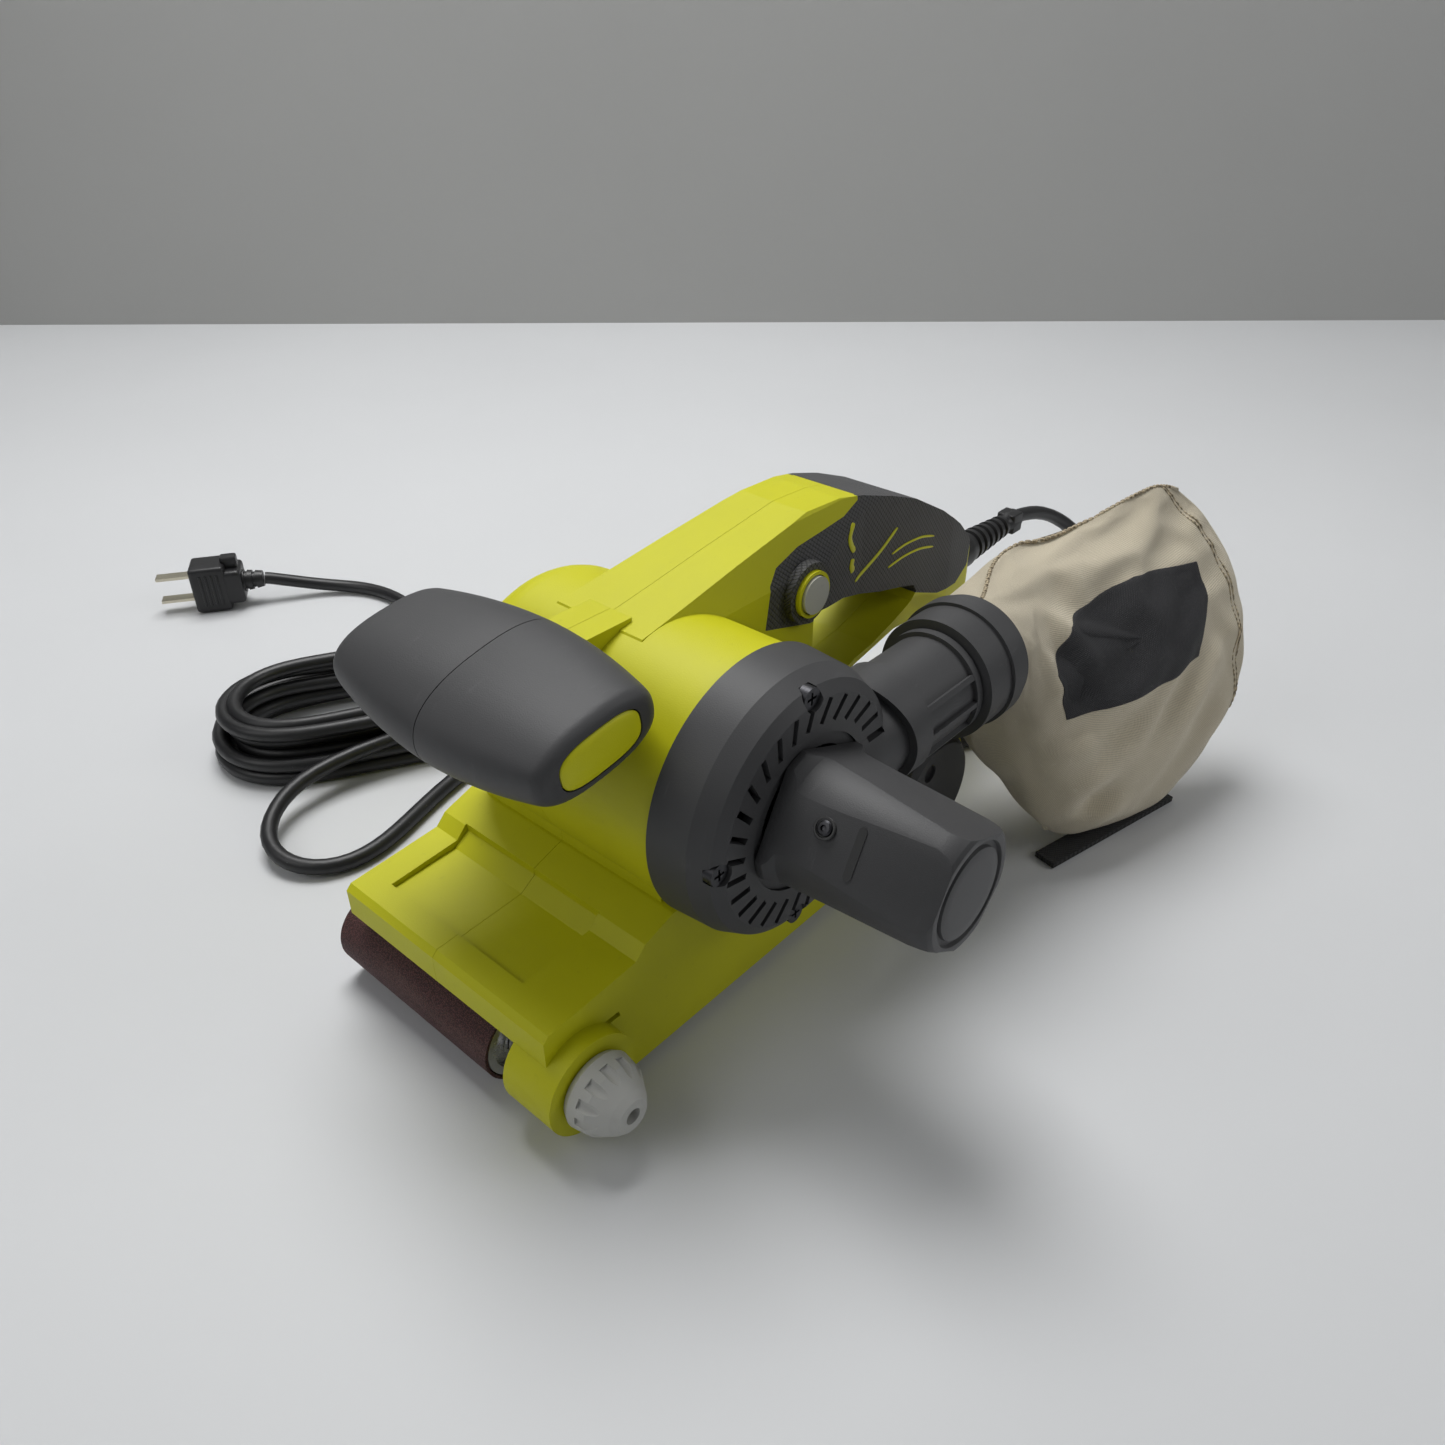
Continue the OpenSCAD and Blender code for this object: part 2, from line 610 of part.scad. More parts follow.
// ---------------------------------------------------------------- frame and belt deck
deck_x0 = -50;
deck_x1 = 58;
rod_z = 21;
lever_x = -44;                  // pivot of the release lever
lever_y = 36;
lever_turn = 105;               // how far the lever swings, in degrees
fork_x = front_x + 24;          // pivot of the fork
fork_top = rod_z - 6.5 - 2 * clear; // low enough to pass under the lever and the spring's shoulder
tail_x = lever_x + 5.6;         // face that the lever's cam pushes
module base_frame() {
    color("silver") difference() {
        union() {
            across(plate_y0, plate_y1) polygon([
                [deck_x0, 4], [rear_x - 18, 4], [rear_x - 14, 6], [rear_x + 14, 6], [rear_x + 19, 12],
                [rear_x + 19, 28], [rear_x + 12, 34], [rear_x - 20, 34], [20, 38], [-30, 38], [deck_x0, 26]
            ]);
            box([deck_x0, plate_y1 - cut, deck_z], [deck_x1, belt_y1 - 4, deck_top]);
            // guide block of the fork's rod
            box([-34, belt_off - 10, deck_top - cut], [-18, belt_off + 10, rod_z + 7]);
            // post of the release lever
            bar_z(lever_x, lever_y, 5, deck_top - cut, deck_top + 1);
            // boss of the rear shaft
            bar_y(rear_x, rear_z, 14, pulley_y1 + 1, plate_y1);
        }
        bar_x(belt_off, rod_z, 4.5 + play, -60, 0);
        bar_z(lever_x, lever_y, 2, 0, 30);
        bar_y(rear_x, rear_z, 11 + play, pulley_y1, pulley_y1 + 8.2);
        bar_y(rear_x, rear_z, 11 + play, plate_y1 - 7.2, plate_y1 + cut);
        bar_y(rear_x, rear_z, 7, pulley_y1, plate_y1 + cut);
        // lightening windows of the deck
        for (x = [-6, 26]) box([x, -12, 0], [x + 22, 42, 40]);
    }
}
module platen_pad() {
    color("darkgoldenrod") box([deck_x0, belt_y0 + 3, belt_t + 2.2], [deck_x1, belt_y1 - 4, deck_z - seat]);
}
module platen() {
    color("silver") {
        box([deck_x0, belt_y0 + 2, belt_t + seat], [deck_x1, belt_y1 - 3, belt_t + 1.4]);
        box([deck_x1 + seat, belt_y0 + 2, belt_t + seat], [deck_x1 + 1.4, belt_y1 - 3, deck_z + 5]);
        box([deck_x1 - cut, belt_y0 + 2, belt_t + seat], [deck_x1 + 1.4, belt_y1 - 3, belt_t + 1.4]);
    }
}
module sanding_belt() {
    color("maroon") across(belt_y0, belt_y1) difference() {
        loop_2d(front_in + belt_t, rear_in + belt_t);
        loop_2d(front_in, rear_in);
    }
}

// ---------------------------------------------------------------- front roller group
roller_y0 = belt_y0 + 0.3;
roller_y1 = belt_y1 - 5.5;
module front_roller() {
    color("silver") difference() {
        bar_y(front_x, front_z, front_r, roller_y0, roller_y1, 96);
        bar_y(front_x, front_z, axle_r + play, roller_y0 - cut, roller_y1 + cut);
        ring_y(front_x, front_z, front_r - 2.5, axle_r + 3, roller_y0 - cut, roller_y0 + 2);
        ring_y(front_x, front_z, front_r - 2.5, axle_r + 3, roller_y1 - 2, roller_y1 + cut);
    }
}
module front_axle() {
    color("silver") bar_y(front_x, front_z, axle_r, roller_y0 - 4, roller_y1 + 4);
}
module roller_fork() {
    color("gray") difference() {
        union() {
            for (y = [roller_y0 - 4, roller_y1 + clear]) {
                box([front_x, y, front_z - 5.5], [front_x + 14, y + 3.6, front_z + 5.5]);
                box([front_x, y, front_z - 5.5], [fork_x, y + 3.6, fork_top]);
                bar_y(front_x, front_z, 5.5, y, y + 3.6);
            }
            box([fork_x - 6, roller_y0 - 4, front_z - 5.5], [fork_x, roller_y1 + 4, fork_top]);
            bar_z(fork_x, belt_off, 7, front_z - 5.5, fork_top);
            // ear that the tracking screw pushes
            box([front_x - 5, roller_y0 - 4, front_z], [front_x + 10, roller_y0 - 0.4, front_z + 10]);
        }
        bar_y(front_x, front_z, axle_r, roller_y0 - 5, roller_y1 + 5);
        bar_z(fork_x, belt_off, 3 + play, front_z - 7, front_z + 3);
    }
}
module fork_rod() {
    color("silver") {
        // fork's pivot pin, rod with the spring's shoulder, and the tail that the lever draws back
        bar_z(fork_x, belt_off, 3, front_z - 5.5, rod_z + 4);
        bar_x(belt_off, rod_z, 4.5, fork_x - 4.5, -14);
        bar_x(belt_off, rod_z, 6.5, spring_x0 - retract - 3.2, spring_x0 - retract - 0.2);
        box([-17.5, belt_off - 4, deck_top + clear], [-14, belt_off + 15, rod_z + 4]);
        box([tail_x, belt_off + 12, deck_top + clear], [-14, belt_off + 15, rod_z + 4]);
        box([tail_x, belt_off + 12, deck_top + clear], [tail_x + 3, lever_y - 1, rod_z + 4]);
    }
}
spring_x0 = -51;                // ends of the tension spring, pressed together
spring_x1 = -34.2;
module tension_spring() {
    turns = 7;
    step = (spring_x1 - spring_x0) / turns;
    color("silver") translate([spring_x0, belt_off, rod_z]) rotate([0, 90, 0]) rotate_extrude()
        polygon(concat(
            [for (i = [0:turns - 1]) each [[6.2, step * i], [6.8, step * (i + 0.5)]]],
            [[6.2, step * turns], [4.9, step * turns], [4.9, 0]]
        ));
}
// Outline of the lever's cam: it draws the fork back in step with the lever
module cam_2d() {
    rate = retract / (lever_turn * PI / 180);
    steps = 20;
    polygon(concat([[0, 0]], [
        for (i = [0:steps])
            let (a = -lever_turn * i / steps, h = 5.3 + retract * i / steps)
            [h * cos(a) + rate * sin(a), h * sin(a) - rate * cos(a)]
    ]));
}
module release_lever() {
    z0 = deck_top + 1 + seat;
    z1 = z0 + 6;
    color("gray") difference() {
        union() {
            bar_z(lever_x, lever_y, 5.2, z0, z1);
            translate([lever_x, lever_y, z0]) linear_extrude(z1 - z0) cam_2d();
            box([lever_x, lever_y + 1, z0], [lever_x + 6, lever_y + 12, z1]);
            box([lever_x, lever_y + 7, z0], [lever_x + lever_len, lever_y + 12, z1]);
            box([lever_x + lever_len - 14, lever_y + 7, z0], [lever_x + lever_len, lever_y + 16, z1]);
        }
        bar_z(lever_x, lever_y, 2 + play, z0 - cut, z1 + cut);
    }
}
module lever_pin() {
    color("silver") {
        bar_z(lever_x, lever_y, 2, deck_z + 0.5, deck_top + 7.4);
        bar_z(lever_x, lever_y, 3.6, deck_top + 7.4, deck_top + 9);
    }
}

// ---------------------------------------------------------------- rear roller group
module rear_roller() {
    color("dimgray") difference() {
        bar_y(rear_x, rear_z, rear_r, belt_y0 + 0.6, belt_y1 - 1, 96);
        bar_y(rear_x, rear_z, axle_r, belt_y0, belt_y1 + cut);
        ring_y(rear_x, rear_z, rear_r - 4, axle_r + 4, belt_y1 - 5, belt_y1 + cut);
    }
}
module rear_shaft() {
    color("silver") bar_y(rear_x, rear_z, axle_r, pulley_y0 + 1, belt_y1 - 0.5);
}
module rear_bearings() {
    color("lightgray") for (y = [pulley_y1 + 1.1, plate_y1 - 7.1])
        ring_y(rear_x, rear_z, 11, axle_r + play, y, y + 7);
}
// Toothed pulley with side discs
module pulley(x, z, r, bore, y0, y1, teeth) {
    difference() {
        bar_y(x, z, r, y0, y1, 96);
        bar_y(x, z, bore, y0 - cut, y1 + cut);
        for (i = [0:teeth - 1]) translate([x, y0, z]) rotate([0, i * 360 / teeth, 0])
            translate([r - 0.9, -cut, -0.6]) cube([2, y1 - y0 + 2 * cut, 1.2]);
    }
}
module driven_pulley() {
    color("gray") pulley(rear_x, rear_z, big_r, axle_r, pulley_y0 + 1, pulley_y1 - 1, 24);
}
module drive_belt() {
    color([0.1, 0.1, 0.1]) across(pulley_y0 + 1.5, pulley_y1 - 1.5) difference() {
        drive_2d(1.9);
        drive_2d(0.3);
    }
}
module motor_pulley() {
    color("silver") pulley(motor_x, motor_z, small_r, shaft_r, pulley_y0 + 1, pulley_y1 - 1, 12);
}

// ---------------------------------------------------------------- motor
core_y0 = -22;
core_y1 = core_y0 + core_len;
comm_y0 = core_y1 + 4;
comm_y1 = comm_y0 + 11;
motor_y1 = cover_y1 - wall - 1;    // end of the shaft, in the closed end of the barrel
module motor_shaft() {
    color("silver") bar_y(motor_x, motor_z, shaft_r, nose_y1 - 19, motor_y1 + 0.5);
}
module armature_core() {
    slots = 12;
    color("lightsteelblue") difference() {
        bar_y(motor_x, motor_z, armature_r, core_y0, core_y1, 96);
        bar_y(motor_x, motor_z, shaft_r, core_y0 - cut, core_y1 + cut);
        for (i = [0:slots - 1]) translate([motor_x, core_y0 - cut, motor_z]) rotate([0, i * 360 / slots, 0])
            translate([armature_r - 7, 0, -1.2]) cube([10, core_len + 2 * cut, 2.4]);
    }
}
module commutator() {
    bars = 24;
    color("peru") difference() {
        bar_y(motor_x, motor_z, 11, comm_y0, comm_y1);
        bar_y(motor_x, motor_z, shaft_r, comm_y0 - cut, comm_y1 + cut);
        for (i = [0:bars - 1]) translate([motor_x, comm_y0 - cut, motor_z]) rotate([0, i * 360 / bars, 0])
            translate([10, 0, -0.25]) cube([3, comm_y1 - comm_y0 + 2 * cut, 0.5]);
    }
}
module field_core() {
    window = armature_r + 10.6;
    color("slategray") difference() {
        bar_y(motor_x, motor_z, barrel_r - wall - seat, core_y0, core_y1, 96);
        bar_y(motor_x, motor_z, armature_r + 0.6, core_y0 - cut, core_y1 + cut, 96);
        box([motor_x - window, core_y0 - cut, motor_z - 13], [motor_x + window, core_y1 + cut, motor_z + 13]);
    }
}
module field_coils() {
    color("chocolate") for (s = [-1, 1]) difference() {
        translate([motor_x + s * (armature_r + 5.6) - 4.6, core_y0 - 4, motor_z - 12.6])
            cube([9.2, core_len + 6, 25.2]);
        bar_y(motor_x, motor_z, armature_r + 1, core_y0 - 8, core_y1 + 8, 96);
    }
}
module brush_holders() {
    y = (comm_y0 + comm_y1) / 2;
    color("brown") for (s = [-1, 1]) difference() {
        translate([motor_x, y, motor_z + s * 24]) cube([10, 9, 21], center = true);
        translate([motor_x, y, motor_z + s * 24]) cube([7, 6, 23], center = true);
    }
}
module carbon_brushes() {
    y = (comm_y0 + comm_y1) / 2;
    color([0.2, 0.2, 0.2]) for (s = [-1, 1]) difference() {
        translate([motor_x, y, motor_z + s * 18]) cube([6.6, 5.6, 16], center = true);
        bar_y(motor_x, motor_z, 11.2, comm_y0, comm_y1);
    }
}
module brush_springs() {
    y = (comm_y0 + comm_y1) / 2;
    color("silver") for (s = [-1, 1]) translate([motor_x, y, motor_z + s * 30.2]) cylinder(r = 2.4, h = 8, center = true);
}
module motor_bearings() {
    color("lightgray") {
        ring_y(motor_x, motor_z, 11, shaft_r + play, motor_y1 - 7, motor_y1);
        ring_y(motor_x, motor_z, 13, shaft_r + play, plate_y0 + 0.2, plate_y0 + 8);
        ring_y(motor_x, motor_z, 11, shaft_r + play, nose_y1 - 17, nose_y1 - 10);
    }
}
module bearing_plate() {
    color("silver") {
        difference() {
            bar_y(motor_x, motor_z, barrel_r - wall - seat, plate_y0, plate_y0 + 5);
            bar_y(motor_x, motor_z, 13 + play, plate_y0 - cut, plate_y0 + 6);
            for (a = [45:90:315]) translate([motor_x + 26 * cos(a), 0, motor_z + 26 * sin(a)])
                bar_y(0, 0, 7, plate_y0 - cut, plate_y0 + 6);
        }
        ring_y(motor_x, motor_z, 15.5, 13 + play, plate_y0 + 4, plate_y0 + 8);
    }
}
// Cup of the far bearing, held in the barrel's closed end
module bearing_cup() {
    color("silver") {
        ring_y(motor_x, motor_z, 14, 11 + play, motor_y1 - 7, motor_y1 + 1);
        ring_y(motor_x, motor_z, barrel_r - wall - 10 - seat, 13.5, motor_y1 - 5, motor_y1 - 2.5);
    }
}
module dust_fan() {
    blades = 9;
    y0 = cap_y0 + wall + 2;
    color("dimgray") difference() {
        union() {
            bar_y(motor_x, motor_z, fan_r, y0 + 11, y0 + 13, 96);
            bar_y(motor_x, motor_z, 8, y0, y0 + 13);
            for (i = [0:blades - 1]) translate([motor_x, y0, motor_z]) rotate([0, i * 360 / blades, 0])
                translate([12, 0, 0]) rotate([0, -35, 0]) cube([fan_r - 15, 12, 1.6]);
        }
        bar_y(motor_x, motor_z, shaft_r, y0 - cut, y0 + 14);
    }
}

// ---------------------------------------------------------------- tracking knob
module tracking_knob() {
    flutes = 12;
    y1 = cover_y0 - 6.4;
    y0 = y1 - knob_len;
    color("lightgray") {
        difference() {
            turned_y(front_x - 1, 20, [
                [0, y1], [knob_r - 1, y1], [knob_r, y1 - 2], [knob_r - 1, y1 - 8],
                [knob_r - 5, y0 + 2], [knob_r - 7, y0], [0, y0]
            ]);
            for (i = [0:flutes - 1]) translate([front_x - 1, y1 - 5, 20]) rotate([0, i * 360 / flutes, 0])
                translate([knob_r + 0.2, 0, 0]) rotate([90, 0, -14]) cylinder(r = 1.8, h = knob_len + 5, $fn = 24);
            bar_y(front_x - 1, 20, 2.6, y0 - cut, y0 + 5, 24);
        }
        bar_y(front_x - 1, 20, 3.1, y1 - cut, roller_y0 - 4.3);
        bar_y(front_x - 1, 20, 5.5, y1 - cut, y1 + 1.2);
    }
}
module tracking_spring() {
    y0 = cover_y0 - 5;
    color("silver") ring_y(front_x - 1, 20, 6.8, 3.4, y0, y0 + 9.8);
}

// ---------------------------------------------------------------- switch and buttons
trig_x = 47;                    // pivot of the trigger
trig_z = 101;
module switch_body() {
    color([0.15, 0.15, 0.15]) {
        box([58, -8, 110.6], [92, 8, 120]);
        box([66, -3, 109], [72, 3, 111]);
    }
}
module trigger() {
    color("darkolivegreen") difference() {
        across(-6.9, 6.9) polygon([
            [44.5, 103], [45.5, 90], [53, 86], [66, 83.5], [69, 88], [69.2, 98], [66, 103.5], [52, 105.5]
        ]);
        bar_y(trig_x, trig_z, 1.5 + play, -8, 8);
    }
}
module trigger_pin() {
    color("silver") bar_y(trig_x, trig_z, 1.5, -12, 12);
}
module lock_button() {
    color("gainsboro") {
        bar_y(47, 113, 6.6, -25.5, -15);
        bar_y(47, 113, 8, -15, -13.5);
    }
}
module lock_ring() {
    color(lime) ring_y(47, 113, 8.2, 7, -24.5, -16.5);
}

// ---------------------------------------------------------------- lead
relief_x = 183.5;
relief_z = 73;
relief_end = relief_x + relief_len;
module strain_relief() {
    color([0.1, 0.1, 0.1]) {
        translate([relief_x, 0, relief_z]) rotate([0, 90, 0]) cylinder(r1 = 7.8, r2 = 4.6, h = relief_len);
        bar_x(0, relief_z, 7.8, 172, relief_x);
    }
}
lie = cord_d / 2 + 0.3;
supply_route = [
    [relief_end + 0.3, 0, relief_z], [relief_end + 14, 0, 72], [262, -2, 67], [278, -8, 56], [288, -18, 41],
    [288, -31, 25], [277, -43, 12], [258, -49, 5], [236, -50, lie], [212, -47, lie], [188, -43, lie],
    [165, -38, lie], [145, -30, lie], [129, -16, lie], [121, 4, lie], [119, 28, lie], [117, 52, lie],
    [110, 76, lie], [95, 97, lie], [73, 111, lie], [47, 117, lie], [20, 118, lie], [-6, 116, lie],
    [-30, 109, lie], [-50, 101, lie], [-67, 97, lie], [-82, 102, lie], [-91, 114, 5], [-91, 129, 7],
    [-82, 141, 9], [-68, 148, 11], [-53, 154, 12]
];
plug_route = [
    [27, 198.2, 12], [38, 211, 9], [50, 228, 5], [61, 246, lie], [68, 264, lie], [68, 283, lie],
    [60, 299, lie], [47, 310, 5], [33, 319, 11], [24.6, 324.7, 13]
];
// Points of a smooth curve through a route, n steps for each stretch
function curve(p, n) = [
    for (i = [0:len(p) - 2], k = [0:n - 1])
        let (t = k / n, a = p[max(i - 1, 0)], b = p[i], c = p[i + 1], d = p[min(i + 2, len(p) - 1)])
        0.5 * (2 * b + (c - a) * t + (2 * a - 5 * b + 4 * c - d) * t * t + (3 * b - a - 3 * c + d) * t * t * t),
    p[len(p) - 1]
];
function unit(v) = v / norm(v);
// Ring of m points about point i of a curve
function ring_at(c, i, r, m) =
    let (t = unit(c[min(i + 1, len(c) - 1)] - c[max(i - 1, 0)]), s = unit(cross(t, [0, 0, 1])), u = cross(s, t))
    [for (k = [0:m - 1]) c[i] + r * (cos(360 * k / m) * s + sin(360 * k / m) * u)];
module tube_along(route, r, n, m = 10) {
    c = curve(route, n);
    count = len(c);
    points = [for (i = [0:count - 1]) each ring_at(c, i, r, m)];
    sides = [
        for (i = [0:count - 2], k = [0:m - 1])
            each [[i * m + k, i * m + (k + 1) % m, (i + 1) * m + k],
                  [i * m + (k + 1) % m, (i + 1) * m + (k + 1) % m, (i + 1) * m + k]]
    ];
    first = [for (k = [1:m - 2]) [0, k + 1, k]];
    last = [for (k = [1:m - 2]) [(count - 1) * m, (count - 1) * m + k, (count - 1) * m + k + 1]];
    polyhedron(points = points, faces = concat(sides, first, last));
}
module supply_cord() {
    color([0.1, 0.1, 0.1]) tube_along(supply_route, cord_d / 2, 2, 8);
}
module plug_cord() {
    color([0.1, 0.1, 0.1]) tube_along(plug_route, cord_d / 2, 2, 8);
}
coil_at = [-12, 176];           // middle of the loose coil
coil_turn = -29;                // its long axis, in degrees from +X
coil_half = 27;                 // half the distance between its round ends
coil_r = 37;                    // outer radius of its round ends
coil_h = 26;
module cord_coil() {
    color([0.1, 0.1, 0.1]) translate([coil_at[0], coil_at[1], 0.3]) rotate([0, 0, coil_turn])
        linear_extrude(coil_h) {
            for (s = [-1, 1]) translate([s * coil_half, 0]) circle(coil_r);
            square([2 * coil_half, 2 * coil_r], center = true);
        }
}
plug_turn = 146;                // heading of the plug's blades
module at_plug() {
    translate([24.6, 324.7, 13]) rotate([0, 0, plug_turn]) children();
}
module plug_body() {
    color([0.1, 0.1, 0.1]) at_plug() {
        translate([0.8, 0, 0]) rotate([0, 90, 0]) cylinder(r1 = 4.4, r2 = 6.5, h = 11.2);
        box([11, -9, -9], [19, 9, 9]);
        box([18, -9, -12.5], [36, 9, 12.5]);
        box([12, -3, 8], [20, 3, 15.5]);
    }
}
module plug_blades() {
    color("gold") at_plug() for (s = [-1, 1])
        translate([36, -3.2, s * 6.35 - 0.75]) cube([17, 6.4, 1.5]);
}

// ---------------------------------------------------------------- dust bag
bag_z = motor_z + 1;
neck_x = port_end + 8;
// Corners of the bag: place and radius of the rounding
bag_corners = [
    [[206, -78, 111], 6], [[228, -94, 80], 8], [[206, -118, 36], 13], [[158, -108, 16], 13],
    [[116, -96, 11], 8], [[150, -86, 70], 25], [[185, -98, 62], 24]
];
module bag_hull(inset) {
    hull() {
        for (c = bag_corners) translate(c[0]) sphere(r = c[1] - inset, $fn = 28);
        bar_x(port_y, bag_z, collar_r - 1.5 - inset, neck_x + (inset > 0 ? -2 : 0), neck_x + 6, 32);
    }
}
module dust_bag() {
    color("wheat") difference() {
        bag_hull(0);
        bag_hull(2.5);
    }
}
module bag_collar() {
    color(dark) difference() {
        union() {
            bar_x(port_y, bag_z, collar_r, port_end - 16, neck_x - seat);
            bar_x(port_y, bag_z, collar_r + 1.2, port_end - 3, neck_x - 4);
        }
        bar_x(port_y, bag_z, port_r + clear, port_end - 18, port_end + 2);
        bar_x(port_y, bag_z, port_r - wall, port_end, neck_x + cut);
    }
}
module bag_zip() {
    color([0.15, 0.15, 0.15]) translate([104, -100.5, 0.4]) rotate([0, 0, -13]) cube([72, 9, 2.2]);
}

left_housing();
right_housing();
grip_skin_left();
grip_skin_right();
front_handle_left();
front_handle_right();
front_handle_inserts();
motor_cap();
nose_cover();
cap_screws();
dust_tube();
pulley_cover();
pulley_cover_screw();
housing_screws();
base_frame();
platen();
platen_pad();
sanding_belt();
front_roller();
front_axle();
roller_fork();
fork_rod();
tension_spring();
release_lever();
lever_pin();
rear_roller();
rear_shaft();
rear_bearings();
driven_pulley();
drive_belt();
motor_pulley();
motor_shaft();
armature_core();
commutator();
field_core();
field_coils();
brush_holders();
carbon_brushes();
brush_springs();
motor_bearings();
bearing_plate();
bearing_cup();
dust_fan();
tracking_knob();
tracking_spring();
switch_body();
trigger();
trigger_pin();
lock_button();
lock_ring();
strain_relief();
supply_cord();
cord_coil();
plug_cord();
plug_body();
plug_blades();
dust_bag();
bag_collar();
bag_zip();
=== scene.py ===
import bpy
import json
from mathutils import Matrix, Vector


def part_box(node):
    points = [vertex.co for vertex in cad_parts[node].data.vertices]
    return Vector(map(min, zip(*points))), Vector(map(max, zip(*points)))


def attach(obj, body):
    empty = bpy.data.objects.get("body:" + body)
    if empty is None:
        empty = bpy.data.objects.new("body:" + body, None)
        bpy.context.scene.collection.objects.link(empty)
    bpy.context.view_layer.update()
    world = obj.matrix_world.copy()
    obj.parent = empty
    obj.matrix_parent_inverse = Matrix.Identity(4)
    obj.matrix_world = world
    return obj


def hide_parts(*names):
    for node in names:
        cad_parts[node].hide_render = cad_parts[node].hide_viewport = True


bl_info = {
    "name": "Handheld Belt Sander",
    "version": (1, 0, 0),
    "blender": (4, 5, 0),
    "location": "3D View > Sidebar > Belt Sander",
    "description": "Builds the looks of a handheld belt sander round its packed frame",
    "category": "Add Mesh",
}

import json
import math

import bmesh
import bpy
from bpy.props import FloatProperty, FloatVectorProperty, IntProperty, PointerProperty
from mathutils import Matrix, Vector, noise
from mathutils.bvhtree import BVHTree

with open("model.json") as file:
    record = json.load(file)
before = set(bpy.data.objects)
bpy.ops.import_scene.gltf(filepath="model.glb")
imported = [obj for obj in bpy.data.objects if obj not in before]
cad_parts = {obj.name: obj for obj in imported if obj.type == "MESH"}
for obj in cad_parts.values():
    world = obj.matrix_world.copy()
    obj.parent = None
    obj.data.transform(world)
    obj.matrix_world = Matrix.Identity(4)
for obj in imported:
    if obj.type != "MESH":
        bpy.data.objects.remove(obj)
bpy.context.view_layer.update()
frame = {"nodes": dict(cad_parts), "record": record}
NODES = frame["nodes"]
MM = 0.001


# ------------------------------------------------------------------ settings
def colour(name, description, default):
    """A colour setting of the panel."""
    return FloatVectorProperty(
        name=name, description=description, default=default, subtype="COLOR", size=3, min=0.0, max=1.0
    )


def length(name, description, default):
    """A length setting of the panel, in metres."""
    return FloatProperty(name=name, description=description, default=default, unit="LENGTH", precision=4)


class SanderColours(bpy.types.PropertyGroup):
    """Colours of the sander's finishes."""

    lime: colour("Lime", "Moulded shells", (0.56, 0.55, 0.006))
    grip: colour("Grip", "Soft overmould", (0.080, 0.080, 0.082))
    grey: colour("Dark grey", "Motor cap, nose and tube", (0.060, 0.060, 0.062))
    canvas: colour("Canvas", "Dust bag", (0.62, 0.55, 0.41))
    grit: colour("Grit", "Sanding belt", (0.075, 0.022, 0.020))
    lead: colour("Lead", "Mains lead and plug", (0.012, 0.012, 0.013))
    knob: colour("Knob", "Tracking knob and lock button", (0.50, 0.50, 0.47))


class SanderSizes(bpy.types.PropertyGroup):
    """Sizes of the sander's looks."""

    cord: length("Lead diameter", "Diameter of the mains lead", 0.0064)
    cord_length: length("Lead length", "Length of the mains lead", 3.0)
    canvas: length("Canvas thickness", "Thickness of the bag's cloth", 0.0009)
    turns: IntProperty(name="Coil turns", description="Turns of the loose coil", default=7, min=3, max=9)


def colours():
    """The panel's colours."""
    return bpy.context.scene.sander_colours


def sizes():
    """The panel's sizes."""
    return bpy.context.scene.sander_sizes


# ------------------------------------------------------------------ shader maths
class Sock:
    """A shader socket, or a number, that Python expressions can use."""

    def __init__(self, shade, value):
        self.shade = shade
        self.value = value

    def _math(self, how, *others):
        values = [self.value] + [o.value if isinstance(o, Sock) else o for o in others]
        return self.shade.add("ShaderNodeMath", {"operation": how}, dict(enumerate(values)))

    def __add__(self, o):
        return self._math("ADD", o)

    def __sub__(self, o):
        return self._math("SUBTRACT", o)

    def __mul__(self, o):
        return self._math("MULTIPLY", o)

    def __truediv__(self, o):
        return self._math("DIVIDE", o)

    def __radd__(self, o):
        return Sock(self.shade, o)._math("ADD", self)

    def __rsub__(self, o):
        return Sock(self.shade, o)._math("SUBTRACT", self)

    def __rmul__(self, o):
        return Sock(self.shade, o)._math("MULTIPLY", self)

    def above(self, limit):
        """1 where the value is above the limit."""
        return self._math("GREATER_THAN", limit)

    def size(self):
        """The value without its sign."""
        return self._math("ABSOLUTE")

    def sine(self):
        """Sine of the value."""
        return self._math("SINE")

    def ramp(self, low, high, out_low=0.0, out_high=1.0):
        """The value taken smoothly from one range to another."""
        return self.shade.add(
            "ShaderNodeMapRange",
            {"interpolation_type": "SMOOTHSTEP"},
            {"Value": self, "From Min": low, "From Max": high, "To Min": out_low, "To Max": out_high},
        )


